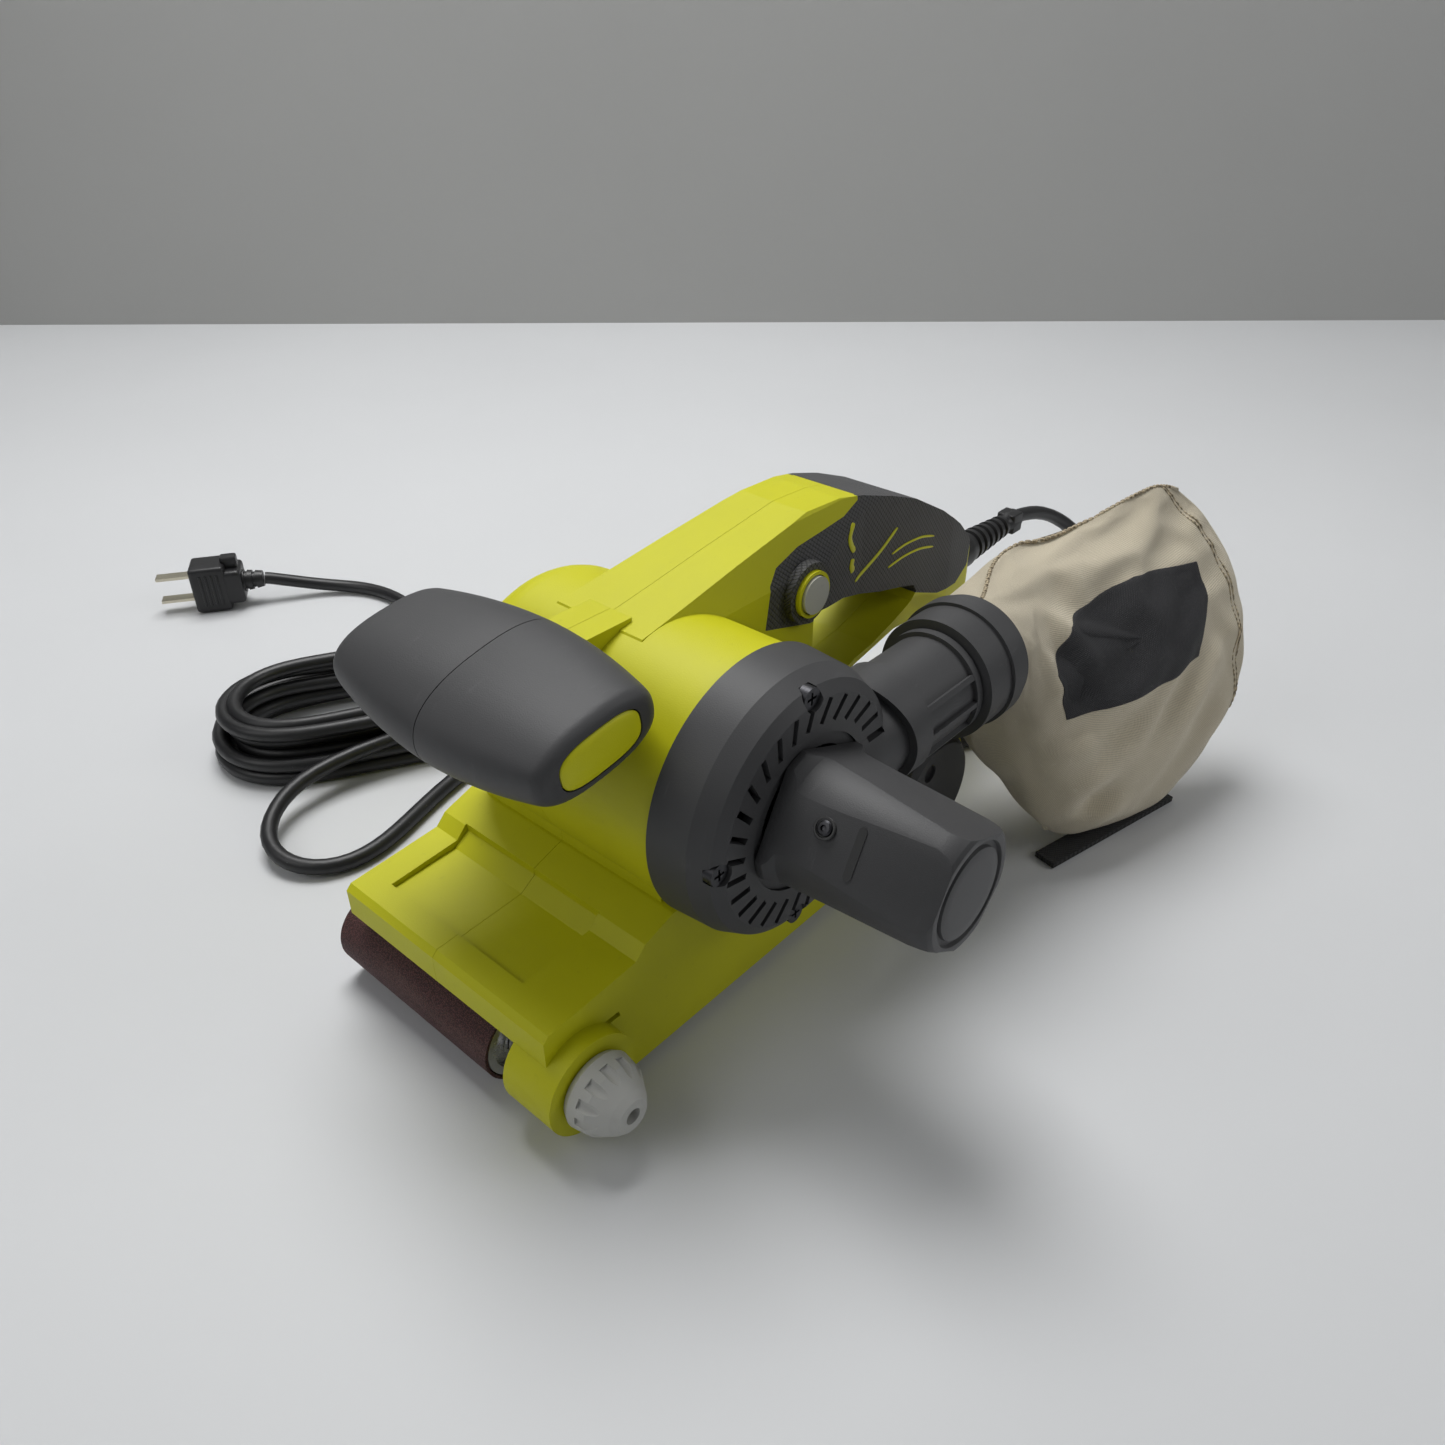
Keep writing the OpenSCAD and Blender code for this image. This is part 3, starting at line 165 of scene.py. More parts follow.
class Shade:
    """One material with a Principled shader."""

    def __init__(self, name):
        self.material = bpy.data.materials.new(name)
        self.material.use_nodes = True
        self.tree = self.material.node_tree
        self.shader = self.tree.nodes["Principled BSDF"]
        self.place = self.add("ShaderNodeTexCoord", {}, {}, "Object")

    def add(self, kind, settings, inputs, output=0):
        """Adds a node: its settings first, then the values or links of its sockets."""
        node = self.tree.nodes.new(kind)
        for key, value in settings.items():
            setattr(node, key, value)
        for key, value in inputs.items():
            self.link(node.inputs[key], value)
        return Sock(self, node.outputs[output])

    def link(self, socket, value):
        """Sets or links one socket."""
        if isinstance(value, Sock):
            value = value.value
        if isinstance(value, bpy.types.NodeSocket):
            self.tree.links.new(value, socket)
        else:
            socket.default_value = value

    def noise(self, scale, detail=3.0, rough=0.55, place=None):
        """Noise from 0 to 1; scale is in cycles a metre."""
        return self.add(
            "ShaderNodeTexNoise",
            {},
            {"Vector": place or self.place, "Scale": scale, "Detail": detail, "Roughness": rough},
        )

    def cells(self, scale):
        """Distance to the nearest cell centre."""
        inputs = {"Vector": self.place, "Scale": scale}
        return self.add("ShaderNodeTexVoronoi", {"feature": "F1"}, inputs, "Distance")

    def axes(self, place=None):
        """X, Y and Z of a place."""
        node = self.tree.nodes.new("ShaderNodeSeparateXYZ")
        self.link(node.inputs[0], place or self.place)
        return [Sock(self, node.outputs[i]) for i in range(3)]

    def stretch(self, scale):
        """The piece's place, stretched along its axes."""
        return self.add("ShaderNodeVectorMath", {"operation": "MULTIPLY"}, {0: self.place, 1: scale})

    def mix(self, factor, a, b):
        """Colour a where the factor is 0, colour b where it is 1."""
        node = self.tree.nodes.new("ShaderNodeMix")
        node.data_type = "RGBA"
        self.link(node.inputs[0], factor)
        for index, value in ((6, a), (7, b)):
            self.link(node.inputs[index], value if isinstance(value, Sock) else (*value, 1.0))
        return Sock(self, node.outputs[2])

    def tint(self, value, base, amount):
        """The base colour, lighter and darker with a value from 0 to 1."""
        dark = [max(0.0, c * (1 - amount)) for c in base]
        light = [min(1.0, c * (1 + amount)) for c in base]
        return self.mix(value, dark, light)

    def finish(self, base, rough, metal=0.0, bump=None, depth=0.0001, strength=1.0, **plain):
        """Sets the shader's sockets; bump is a height from 0 to 1 and depth its size in metres."""
        self.link(self.shader.inputs["Base Color"], base if isinstance(base, Sock) else (*base, 1.0))
        self.link(self.shader.inputs["Roughness"], rough)
        self.link(self.shader.inputs["Metallic"], metal)
        for key, value in plain.items():
            self.shader.inputs[key.replace("_", " ")].default_value = value
        if bump is not None:
            normal = self.add("ShaderNodeBump", {}, {"Height": bump, "Distance": depth, "Strength": strength})
            self.link(self.shader.inputs["Normal"], normal)
        return self.material


# ------------------------------------------------------------------ finishes
def moulded(name, base, rough, scuff=0.0):
    """Moulded plastic with an eroded grain, faint smudges and scuffs."""
    s = Shade(name)
    smudge = s.noise(22.0, 4.0)
    fine = s.noise(2600.0, 2.0)
    speck = s.noise(340.0, 3.0).ramp(0.66, 0.74)
    tone = s.tint(smudge, base, 0.10)
    if scuff:
        streak = s.noise(60.0, 5.0, 0.7, s.stretch((1.0, 4.0, 1.0))).ramp(0.60, 0.74)
        tone = s.mix(streak * scuff, tone, tuple(min(1.0, c * 1.6 + 0.02) for c in base))
    tone = s.mix(speck * 0.12, tone, tuple(c * 0.55 for c in base))
    rough_map = smudge * 0.16 + fine * 0.10 + (rough - 0.13)
    return s.finish(tone, rough_map, bump=fine, depth=0.00008, strength=0.6, Specular_IOR_Level=0.32)


def soft_touch(name, base):
    """Soft overmould: dull, with dust in its fine grain."""
    s = Shade(name)
    fine = s.noise(3200.0, 2.0)
    smudge = s.noise(30.0, 4.0)
    dust = s.noise(500.0, 4.0).ramp(0.60, 0.72)
    tone = s.mix(dust * 0.10, s.tint(smudge, base, 0.13), (0.30, 0.29, 0.27))
    return s.finish(tone, smudge * 0.12 + 0.60, bump=fine, depth=0.00006, strength=0.6)


def diamond_grip(name, base):
    """Soft grip with rows of small raised diamonds along the handle."""
    s = Shade(name)
    x, y, z = s.axes()
    pitch = 2 * math.pi / 0.0042
    one = ((x + z * 0.9 + y * 0.9) * pitch).sine()
    two = ((x - z * 0.9 - y * 0.9) * pitch).sine()
    diamond = (one * two).size().ramp(0.0, 0.45)
    fine = s.noise(2400.0, 2.0)
    # the grooves between the diamonds are painted darker than the rubber: painted shade in the recesses
    tone = s.mix(1 - diamond, s.tint(s.noise(26.0), base, 0.14), tuple(c * 0.45 for c in base))
    height = diamond * 0.85 + fine * 0.15
    return s.finish(tone, s.noise(40.0) * 0.12 + 0.58, bump=height, depth=0.0005, strength=0.8)


def canvas_cloth(name, base):
    """Plain-woven cotton canvas, with threads of uneven thickness and light soiling."""
    s = Shade(name)
    node = s.tree.nodes.new("ShaderNodeUVMap")
    node.uv_map = "weave"
    u, v, _ = s.axes(Sock(s, node.outputs[0]))
    pitch = 2 * math.pi / 0.0011
    wander = s.noise(150.0, 2.0) * 2.4
    warp = (u * pitch + wander).sine()
    weft = (v * pitch + wander).sine()
    over = (warp * weft).ramp(-1.0, 1.0)
    threads = warp.size() * over + weft.size() * (1 - over)
    slub = s.noise(420.0, 3.0)
    soil = s.noise(26.0, 5.0, 0.6)
    bright = tuple(min(1.0, c * 1.12) for c in base)
    # the threads are lighter on their crowns and darker between them: the weave's pattern, with painted shade
    # between the threads
    tone = s.mix(threads.ramp(0.0, 1.0), tuple(c * 0.66 for c in base), bright)
    tone = s.mix(soil.ramp(0.52, 0.80) * 0.30, tone, (0.42, 0.36, 0.25))
    tone = s.mix(slub.ramp(0.62, 0.72) * 0.25, tone, (0.75, 0.70, 0.58))
    height = threads * 0.75 + slub * 0.25
    return s.finish(tone, slub * 0.08 + 0.84, bump=height, depth=0.00028, strength=0.9, Sheen_Weight=0.25)


def grit_belt(name, base):
    """Aluminium oxide grit, glued on cloth, with worn and dusty patches."""
    s = Shade(name)
    grains = s.cells(2300.0)
    clumps = s.cells(900.0)
    dust = s.noise(70.0, 5.0, 0.65, s.stretch((1.0, 0.3, 1.0))).ramp(0.52, 0.78)
    tone = s.mix(grains.ramp(0.1, 0.6), tuple(c * 2.0 for c in base), tuple(c * 0.5 for c in base))
    tone = s.mix(dust * 0.35, tone, (0.16, 0.10, 0.08))
    height = (1 - grains) * 0.6 + (1 - clumps) * 0.4
    return s.finish(tone, grains * 0.25 + 0.55, bump=height, depth=0.00035, strength=1.0)


def bare_metal(name, base, rough, lines=(1.0, 1.0, 1.0)):
    """Steel or alloy, turned or rolled, with oil smears."""
    s = Shade(name)
    grain = s.noise(700.0, 3.0, 0.6, s.stretch(lines))
    smear = s.noise(35.0, 4.0)
    stain = s.noise(120.0, 4.0).ramp(0.62, 0.75)
    tone = s.mix(stain * 0.30, s.tint(grain, base, 0.12), tuple(c * 0.45 for c in base))
    return s.finish(tone, smear * 0.18 + grain * 0.10 + (rough - 0.14), 1.0, bump=grain, depth=0.00002)


def cast_alloy(name, base):
    """Die-cast alloy, left as cast."""
    s = Shade(name)
    pits = s.noise(900.0, 4.0)
    patch = s.noise(40.0, 3.0)
    return s.finish(s.tint(patch, base, 0.16), pits * 0.2 + 0.42, 1.0, bump=pits, depth=0.00012)


def rubbered(name, base, rough):
    """Moulded rubber or flexible vinyl."""
    s = Shade(name)
    fine = s.noise(1500.0, 3.0)
    bloom = s.noise(60.0, 4.0)
    lint = s.noise(800.0, 3.0, 0.6, s.stretch((1.0, 0.25, 1.0))).ramp(0.70, 0.76)
    tone = s.mix(bloom.ramp(0.5, 0.9) * 0.25, base, tuple(c * 2.2 + 0.01 for c in base))
    tone = s.mix(lint * 0.2, tone, (0.25, 0.24, 0.23))
    return s.finish(tone, bloom * 0.22 + (rough - 0.11), bump=fine, depth=0.00005, strength=0.6)


def wound_copper(name):
    """Enamelled copper wire in layers."""
    s = Shade(name)
    x, _, z = s.axes()
    wires = ((z + x * 0.15) * (2 * math.pi / 0.0009)).sine()
    # the wire is painted dark in the grooves between turns and bright on each crown: painted shade and painted
    # highlight
    tone = s.mix(wires.ramp(-1, 1), (0.22, 0.07, 0.02), (0.72, 0.33, 0.12))
    return s.finish(tone, s.noise(80.0) * 0.2 + 0.25, 0.9, bump=wires, depth=0.0002, Coat_Weight=0.4)


def stacked_steel(name):
    """Stamped laminations, stacked along the shaft."""
    s = Shade(name)
    _, y, _ = s.axes()
    sheets = (y * (2 * math.pi / 0.0010)).sine()
    rust = s.noise(90.0, 4.0).ramp(0.60, 0.78)
    tone = s.mix(rust * 0.4, s.tint(sheets.ramp(-1, 1), (0.20, 0.21, 0.23), 0.3), (0.16, 0.08, 0.04))
    return s.finish(tone, s.noise(60.0) * 0.2 + 0.38, 0.9, bump=sheets, depth=0.00015)


def woven_tape(name, base):
    """Narrow twill tape with raised slanting ribs."""
    s = Shade(name)
    x, y, _ = s.axes()
    twill = ((x * 0.9 + y * 1.1) * (2 * math.pi / 0.0016)).sine()
    cross = ((x - y * 0.5) * (2 * math.pi / 0.0009)).sine()
    height = twill * 0.35 + cross * 0.15 + 0.5
    # the ribs are painted lighter and the grooves darker than the tape's black: painted highlight on the ribs and
    # painted shade in the grooves
    tone = s.mix(height, tuple(c * 0.5 for c in base), tuple(c * 2.2 for c in base))
    return s.finish(tone, s.noise(300.0) * 0.1 + 0.75, bump=height, depth=0.0003)


def printed_panel(name):
    """Black print on cloth, with the weave showing through and fine cracks."""
    s = Shade(name)
    x, _, z = s.axes()
    weave = (x * (2 * math.pi / 0.0009)).sine() * (z * (2 * math.pi / 0.0009)).sine()
    worn = s.noise(260.0, 4.0).ramp(0.62, 0.8)
    ink = s.mix(s.noise(40.0), (0.014, 0.014, 0.016), (0.026, 0.026, 0.029))
    tone = s.mix(worn * 0.35, ink, (0.10, 0.095, 0.08))
    return s.finish(tone, s.noise(120.0) * 0.15 + 0.62, 0.0, bump=weave, depth=0.00012)


FINISHES = {}


def finish_of(slot):
    """The material of one of the record's slots, made once."""
    if slot not in FINISHES:
        c = colours()
        lime, grip, grey, knob, lead = (tuple(v) for v in (c.lime, c.grip, c.grey, c.knob, c.lead))
        makers = {
            "lime_housing": lambda: moulded("lime moulded shell", lime, 0.50),
            "lime_accent": lambda: moulded("lime accent", tuple(v * 1.1 for v in lime), 0.42),
            "grey_plastic": lambda: moulded("dark grey moulding", grey, 0.50, scuff=0.25),
            "soft_grip": lambda: soft_touch("soft touch", grip),
            "knob_grey": lambda: moulded("light grey moulding", knob, 0.48),
            "trigger_plastic": lambda: moulded("trigger moulding", (0.13, 0.15, 0.10), 0.45),
            "dark_fixings": lambda: bare_metal("blackened steel", (0.06, 0.06, 0.065), 0.42),
            "bright_fixings": lambda: bare_metal("zinc plated steel", (0.62, 0.62, 0.64), 0.34),
            "steel_plate": lambda: bare_metal("rolled steel", (0.50, 0.50, 0.51), 0.40, (0.15, 1.0, 1.0)),
            "roller_steel": lambda: bare_metal("turned steel", (0.60, 0.60, 0.61), 0.28, (1.0, 0.1, 1.0)),
            "pulley_alloy": lambda: bare_metal("machined alloy", (0.66, 0.66, 0.68), 0.32, (1.0, 0.1, 1.0)),
            "plug_brass": lambda: bare_metal("plated brass", (0.62, 0.58, 0.46), 0.30),
            "cast_frame": lambda: cast_alloy("cast alloy", (0.45, 0.46, 0.47)),
            "abrasive_belt": lambda: grit_belt("abrasive belt", tuple(c.grit)),
            "graphite_pad": lambda: rubbered("graphite cloth", (0.03, 0.03, 0.032), 0.55),
            "lagging": lambda: rubbered("drive roller rubber", (0.025, 0.025, 0.025), 0.6),
            "toothed_rubber": lambda: rubbered("toothed belt rubber", (0.02, 0.02, 0.02), 0.55),
            "carbon": lambda: rubbered("pressed carbon", (0.03, 0.03, 0.03), 0.5),
            "cord_rubber": lambda: rubbered("black vinyl", lead, 0.42),
            "core_steel": lambda: stacked_steel("stacked core steel"),
            "copper": lambda: wound_copper("enamelled copper"),
            "canvas": lambda: canvas_cloth("cotton canvas", tuple(c.canvas)),
            "zip_tape": lambda: woven_tape("black woven tape", (0.02, 0.02, 0.02)),
        }
        FINISHES[slot] = makers[slot]()
    return FINISHES[slot]


def coat(piece, material):
    """Gives a piece one material."""
    piece.data.materials.clear()
    piece.data.materials.append(material)


# ------------------------------------------------------------------ making pieces
def alone():
    """Object mode with nothing selected."""
    if bpy.context.object and bpy.context.object.mode != "OBJECT":
        bpy.ops.object.mode_set(mode="OBJECT")
    bpy.ops.object.select_all(action="DESELECT")


def only(piece):
    """Selects one piece and makes it active."""
    alone()
    piece.select_set(True)
    bpy.context.view_layer.objects.active = piece
    return piece


def settle(piece, name, slot, body, smooth=35.0):
    """Names a finished piece, applies its place to its mesh, and sets its smoothing, its body and the finish that
    the slot names.
    """
    only(piece)
    bpy.ops.object.transform_apply(location=True, rotation=True, scale=True)
    piece.name = piece.data.name = name
    bpy.ops.object.shade_smooth_by_angle(angle=math.radians(smooth))
    coat(piece, finish_of(slot))
    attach(piece, body)
    alone()
    return piece


def modify(piece, kind, **settings):
    """Adds a modifier with its settings and applies it."""
    only(piece)
    modifier = piece.modifiers.new(kind.title(), kind)
    for key, value in settings.items():
        setattr(modifier, key, value)
    bpy.ops.object.modifier_apply(modifier=modifier.name)


def edit(piece, action):
    """Runs an action on a piece's bmesh, with its vertices, edges and faces as they are."""
    bm = bmesh.new()
    bm.from_mesh(piece.data)
    action(bm)
    bm.to_mesh(piece.data)
    bm.free()
    piece.data.update()


def in_edit_mode(piece, action, **settings):
    """Runs one mesh operator on all of a piece."""
    only(piece)
    bpy.ops.object.mode_set(mode="EDIT")
    bpy.ops.mesh.select_all(action="SELECT")
    action(**settings)
    bpy.ops.object.mode_set(mode="OBJECT")


def outwards(piece):
    """Merges doubles and turns every face outwards."""
    only(piece)
    bpy.ops.object.mode_set(mode="EDIT")
    bpy.ops.mesh.select_all(action="SELECT")
    bpy.ops.mesh.remove_doubles(threshold=1e-6)
    bpy.ops.mesh.normals_make_consistent(inside=False)
    bpy.ops.object.mode_set(mode="OBJECT")


def turned(start, along, profile, sides):
    """A turned piece: a circle extruded and resized along a profile of (distance, radius), in metres."""
    start, along = Vector(start), Vector(along).normalized()
    spin = along.to_track_quat("Z", "Y").to_euler()
    at, radius = profile[0]
    alone()
    bpy.ops.mesh.primitive_circle_add(
        vertices=sides, radius=radius, fill_type="NGON", location=start + along * at, rotation=spin
    )
    piece = bpy.context.object
    bpy.ops.object.mode_set(mode="EDIT")
    bpy.ops.mesh.select_mode(type="FACE")
    for distance, wanted in profile[1:]:
        bpy.ops.mesh.extrude_region_move(TRANSFORM_OT_translate={"value": along * (distance - at)})
        scale = wanted / radius
        bpy.ops.transform.resize(value=(scale,) * 3, center_override=start + along * distance)
        at, radius = distance, wanted
    bpy.ops.object.mode_set(mode="OBJECT")
    outwards(piece)
    return piece


def block(low, high, bevel, segments=3):
    """A box between two corners, with its edges rounded in edit mode."""
    low, high = Vector(low), Vector(high)
    alone()
    bpy.ops.mesh.primitive_cube_add(size=1.0, location=(low + high) / 2, scale=high - low)
    piece = bpy.context.object
    bpy.ops.object.transform_apply(location=True, rotation=True, scale=True)
    in_edit_mode(piece, bpy.ops.mesh.bevel, offset=bevel, segments=segments, profile=0.6)
    return piece


def join(pieces):
    """Joins pieces into the first."""
    alone()
    for p in pieces:
        p.select_set(True)
    bpy.context.view_layer.objects.active = pieces[0]
    bpy.ops.object.join()
    return bpy.context.object


def eased_step(t):
    """A share from 0 to 1 with a slow start and end."""
    return t * t * (3 - 2 * t)


def between(a, b, c, d, t):
    """A value on the smooth curve through b and c, at share t of the way."""
    return 0.5 * (2 * b + (c - a) * t + (2 * a - 5 * b + 4 * c - d) * t * t + (3 * b - a - 3 * c + d) * t**3)


def windows(rows):
    """Each neighbouring pair of rows with the row before and after it, repeated at the ends."""
    last = len(rows) - 1
    return [(rows[max(i - 1, 0)], rows[i], rows[i + 1], rows[min(i + 2, last)]) for i in range(last)]


def catmull(points, steps):
    """Points of a smooth curve through a route."""
    p = [Vector(q) for q in points]
    return [between(*four, k / steps) for four in windows(p) for k in range(steps)] + [p[-1]]


def heading_at(line, i):
    """The direction of a line of points at its point i."""
    return (line[min(i + 1, len(line) - 1)] - line[max(i - 1, 0)]).normalized()


def spoke(turn):
    """The unit direction in the XZ plane at an angle from +X towards +Z, in degrees."""
    a = math.radians(turn)
    return Vector((math.cos(a), 0, math.sin(a)))


def tilted(u, v, tilt):
    """u and v turned by an angle, in radians."""
    return u * math.cos(tilt) - v * math.sin(tilt), u * math.sin(tilt) + v * math.cos(tilt)


def loft(rings):
    """A closed piece skinned over rings of points, each with the same count."""
    mesh = bpy.data.meshes.new("loft")
    count = len(rings[0])
    points = [tuple(p) for ring in rings for p in ring]
    faces = [
        (i * count + k, i * count + (k + 1) % count, (i + 1) * count + (k + 1) % count, (i + 1) * count + k)
        for i in range(len(rings) - 1)
        for k in range(count)
    ]
    faces += [tuple(range(count))[::-1], tuple(range((len(rings) - 1) * count, len(rings) * count))]
    mesh.from_pydata(points, [], faces)
    piece = bpy.data.objects.new("loft", mesh)
    bpy.context.scene.collection.objects.link(piece)
    outwards(piece)
    return piece


# ------------------------------------------------------------------ stage
# Direction the camera looks in, in degrees from +X, how far down it looks and its small roll
CAMERA_YAW, CAMERA_PITCH, CAMERA_ROLL = (math.radians(a) for a in (41.71, 33.61, -0.2))
CAMERA_AT = (-0.2285, -0.2288, 0.2893)
WALL_AWAY = 0.80


class SANDER_OT_stage(bpy.types.Operator):
    """Floor, backdrop, soft lights and the camera"""

    bl_idname = "sander.stage"
    bl_label = "Stage"

    def execute(self, context):
        alone()
        bpy.ops.mesh.primitive_plane_add(size=6.0, location=(0, 0, 0))
        floor = context.object
        floor.name = "floor"
        s = Shade("pale floor")
        cloudy = s.noise(3.0, 4.0)
        coat(floor, s.finish(s.mix(cloudy, (0.60, 0.61, 0.62), (0.66, 0.67, 0.68)), cloudy * 0.1 + 0.5))
        alone()
        heading = Vector((math.cos(CAMERA_YAW), math.sin(CAMERA_YAW), 0))
        quarter = math.radians(90)
        bpy.ops.mesh.primitive_plane_add(
            size=6.0, location=heading * WALL_AWAY, rotation=(quarter, 0, CAMERA_YAW - quarter)
        )
        wall = context.object
        wall.name = "backdrop"
        s = Shade("pale wall")
        cloudy = s.noise(2.0, 3.0)
        coat(wall, s.finish(s.mix(cloudy, (0.37, 0.37, 0.36), (0.42, 0.42, 0.41)), cloudy * 0.1 + 0.6))
        self.lamp("key light", (0.25, 0.45, 1.25), (0.02, 0.0, 0.05), 0.7, 15.0)
        self.lamp("side light", (-0.9, 0.35, 0.9), (0.0, 0.0, 0.05), 0.7, 2.6)
        self.lamp("front light", (0.75, -0.95, 0.8), (0.10, -0.05, 0.05), 0.6, 3.0)
        world = bpy.data.worlds.new("soft room")
        context.scene.world = world
        world.use_nodes = True
        sky = world.node_tree.nodes["Background"]
        sky.inputs["Color"].default_value = (0.9, 0.92, 0.95, 1)
        sky.inputs["Strength"].default_value = 0.16
        self.camera(context)
        return {"FINISHED"}

    def lamp(self, name, at, aim, side, power):
        """A square soft light that looks at a point."""
        alone()
        bpy.ops.object.light_add(type="AREA", location=at)
        lamp = bpy.context.object
        lamp.name = name
        lamp.data.energy = power
        lamp.data.size = side
        lamp.rotation_euler = (Vector(aim) - Vector(at)).to_track_quat("-Z", "Y").to_euler()

    def camera(self, context):
        """The camera, above the tool's front left corner."""
        alone()
        bpy.ops.object.camera_add(location=CAMERA_AT)
        camera = context.object
        camera.name = "camera"
        level = math.cos(CAMERA_PITCH)
        ahead = Vector((level * math.cos(CAMERA_YAW), level * math.sin(CAMERA_YAW), -math.sin(CAMERA_PITCH)))
        turn = ahead.to_track_quat("-Z", "Y").to_matrix().to_4x4() @ Matrix.Rotation(CAMERA_ROLL, 4, "Z")
        camera.rotation_euler = turn.to_euler()
        camera.data.sensor_width = 36.0
        camera.data.lens = 28.68
        camera.data.clip_start = 0.01
        context.scene.camera = camera
        context.scene.view_settings.view_transform = "Standard"


# ------------------------------------------------------------------ lead
# Routes in millimetres; LIE is the height of the lead's middle where it lies on the floor
LIE = 3.5
SUPPLY_ROUTE = [
    (231.8, 0, 73), (245.5, 0, 72), (262, -2, 67), (278, -8, 56), (288, -18, 41),
    (288, -31, 25), (277, -43, 12), (258, -49, 5), (236, -50, LIE), (212, -47, LIE), (188, -43, LIE),
    (165, -38, LIE), (145, -30, LIE), (129, -16, LIE), (121, 4, LIE), (119, 28, LIE), (117, 52, LIE),
    (110, 76, LIE), (95, 97, LIE), (73, 111, LIE), (47, 117, LIE), (20, 118, LIE), (-6, 116, LIE),
    (-30, 109, LIE), (-50, 101, LIE), (-67, 97, LIE), (-82, 102, LIE), (-91, 114, 5), (-91, 129, 7),
    (-82, 141, 9), (-68, 148, 11), (-53, 154, 12),
]
PLUG_ROUTE = [
    (40, 172, 24), (48, 188, 17), (55, 205, 10), (60, 222, 5), (65, 240, LIE), (68, 262, LIE), (68, 283, LIE),
    (60, 299, LIE), (47, 310, 5), (33, 319, 11), (24.6, 324.7, 13),
]
PLUG_TURN = math.radians(146)
COIL_AT = (-12.0, 176.0)
COIL_TURN = math.radians(-29)
# Radius, half length, shift along and across, and height of each turn of the coil, in millimetres
COIL_TURNS = [
    (32.5, 31, 0.0, 1.0, 16.4), (33.8, 31, 0.5, 0.0, 9.9), (33.6, 31, 0.0, 0.0, 3.5), (26.8, 30, -1.0, 0.5, 3.7),
    (25.2, 31, 1.0, -0.5, 10.1), (25.6, 32, 0.0, 0.5, 16.6), (30.8, 31, 1.0, 0.5, 22.9),
    (24.4, 30, 0.0, 1.0, 23.2), (24.8, 28, 1.5, 1.0, 29.6),
]


def coil_points(start, stop, steps):
    """Points of the loose coil from one turn count to another; a turn starts half way along a run."""
    points = []
    for i in range(round((stop - start) * steps) + 1):
        t = start + i / steps
        k = min(int(t), len(COIL_TURNS) - 2)
        share = eased_step(t - k)
        r, half, du, dv, z = (a + (b - a) * share for a, b in zip(COIL_TURNS[k], COIL_TURNS[k + 1]))
        straight = 2 * half
        total = 2 * math.pi * r + 2 * straight
        along = (t % 1.0) * total
        if along < half:
            u, v = along, -r
        elif along < half + math.pi * r:
            a = (along - half) / r - math.pi / 2
            u, v = half + r * math.cos(a), r * math.sin(a)
        elif along < half + math.pi * r + straight:
            u, v = half - (along - half - math.pi * r), r
        elif along < half + 2 * math.pi * r + straight:
            a = (along - half - math.pi * r - straight) / r + math.pi / 2
            u, v = -half + r * math.cos(a), r * math.sin(a)
        else:
            u, v = along - total, -r
        u, v = tilted(u + du, v + dv, COIL_TURN)
        z += 0.4 * math.sin(2 * math.pi * t * 2 + k)
        points.append((COIL_AT[0] + u, COIL_AT[1] + v, max(z, LIE)))
    return points


def lead_points():
    """The whole lead: from the strain relief to the coil, its turns, and on to the plug."""
    turns = coil_points(0.06, sizes().turns + 0.25, 20)
    return [Vector(p) * MM for p in catmull(SUPPLY_ROUTE + turns + PLUG_ROUTE, 3)]


def eased(points):
    """A route without its doubled points and small kinks; its ends stay."""
    spacing, rounds = 0.0022, 10
    kept = points[:1]
    for p in points[1:-1]:
        if (p - kept[-1]).length > spacing and (p - points[-1]).length > spacing:
            kept.append(p)
    kept.append(points[-1])
    for _ in range(rounds):
        kept = (
            kept[:2]
            + [b * 0.5 + (a + c) * 0.25 for a, b, c in zip(kept[1:-3], kept[2:-2], kept[3:-1])]
            + kept[-2:]
        )
    return kept


def cord_curve(name, points, radius):
    """A cord: a curve of one open spline with a round section."""
    data = bpy.data.curves.new(name, "CURVE")
    data.dimensions = "3D"
    data.bevel_depth = radius
    data.bevel_resolution = 3
    data.use_fill_caps = True
    spline = data.splines.new("POLY")
    spline.points.add(len(points) - 1)
    for point, place in zip(spline.points, points):
        point.co = (*place, 1.0)
    piece = bpy.data.objects.new(name, data)
    bpy.context.scene.collection.objects.link(piece)
    data.materials.append(finish_of("cord_rubber"))
    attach(piece, "housing")
    return piece


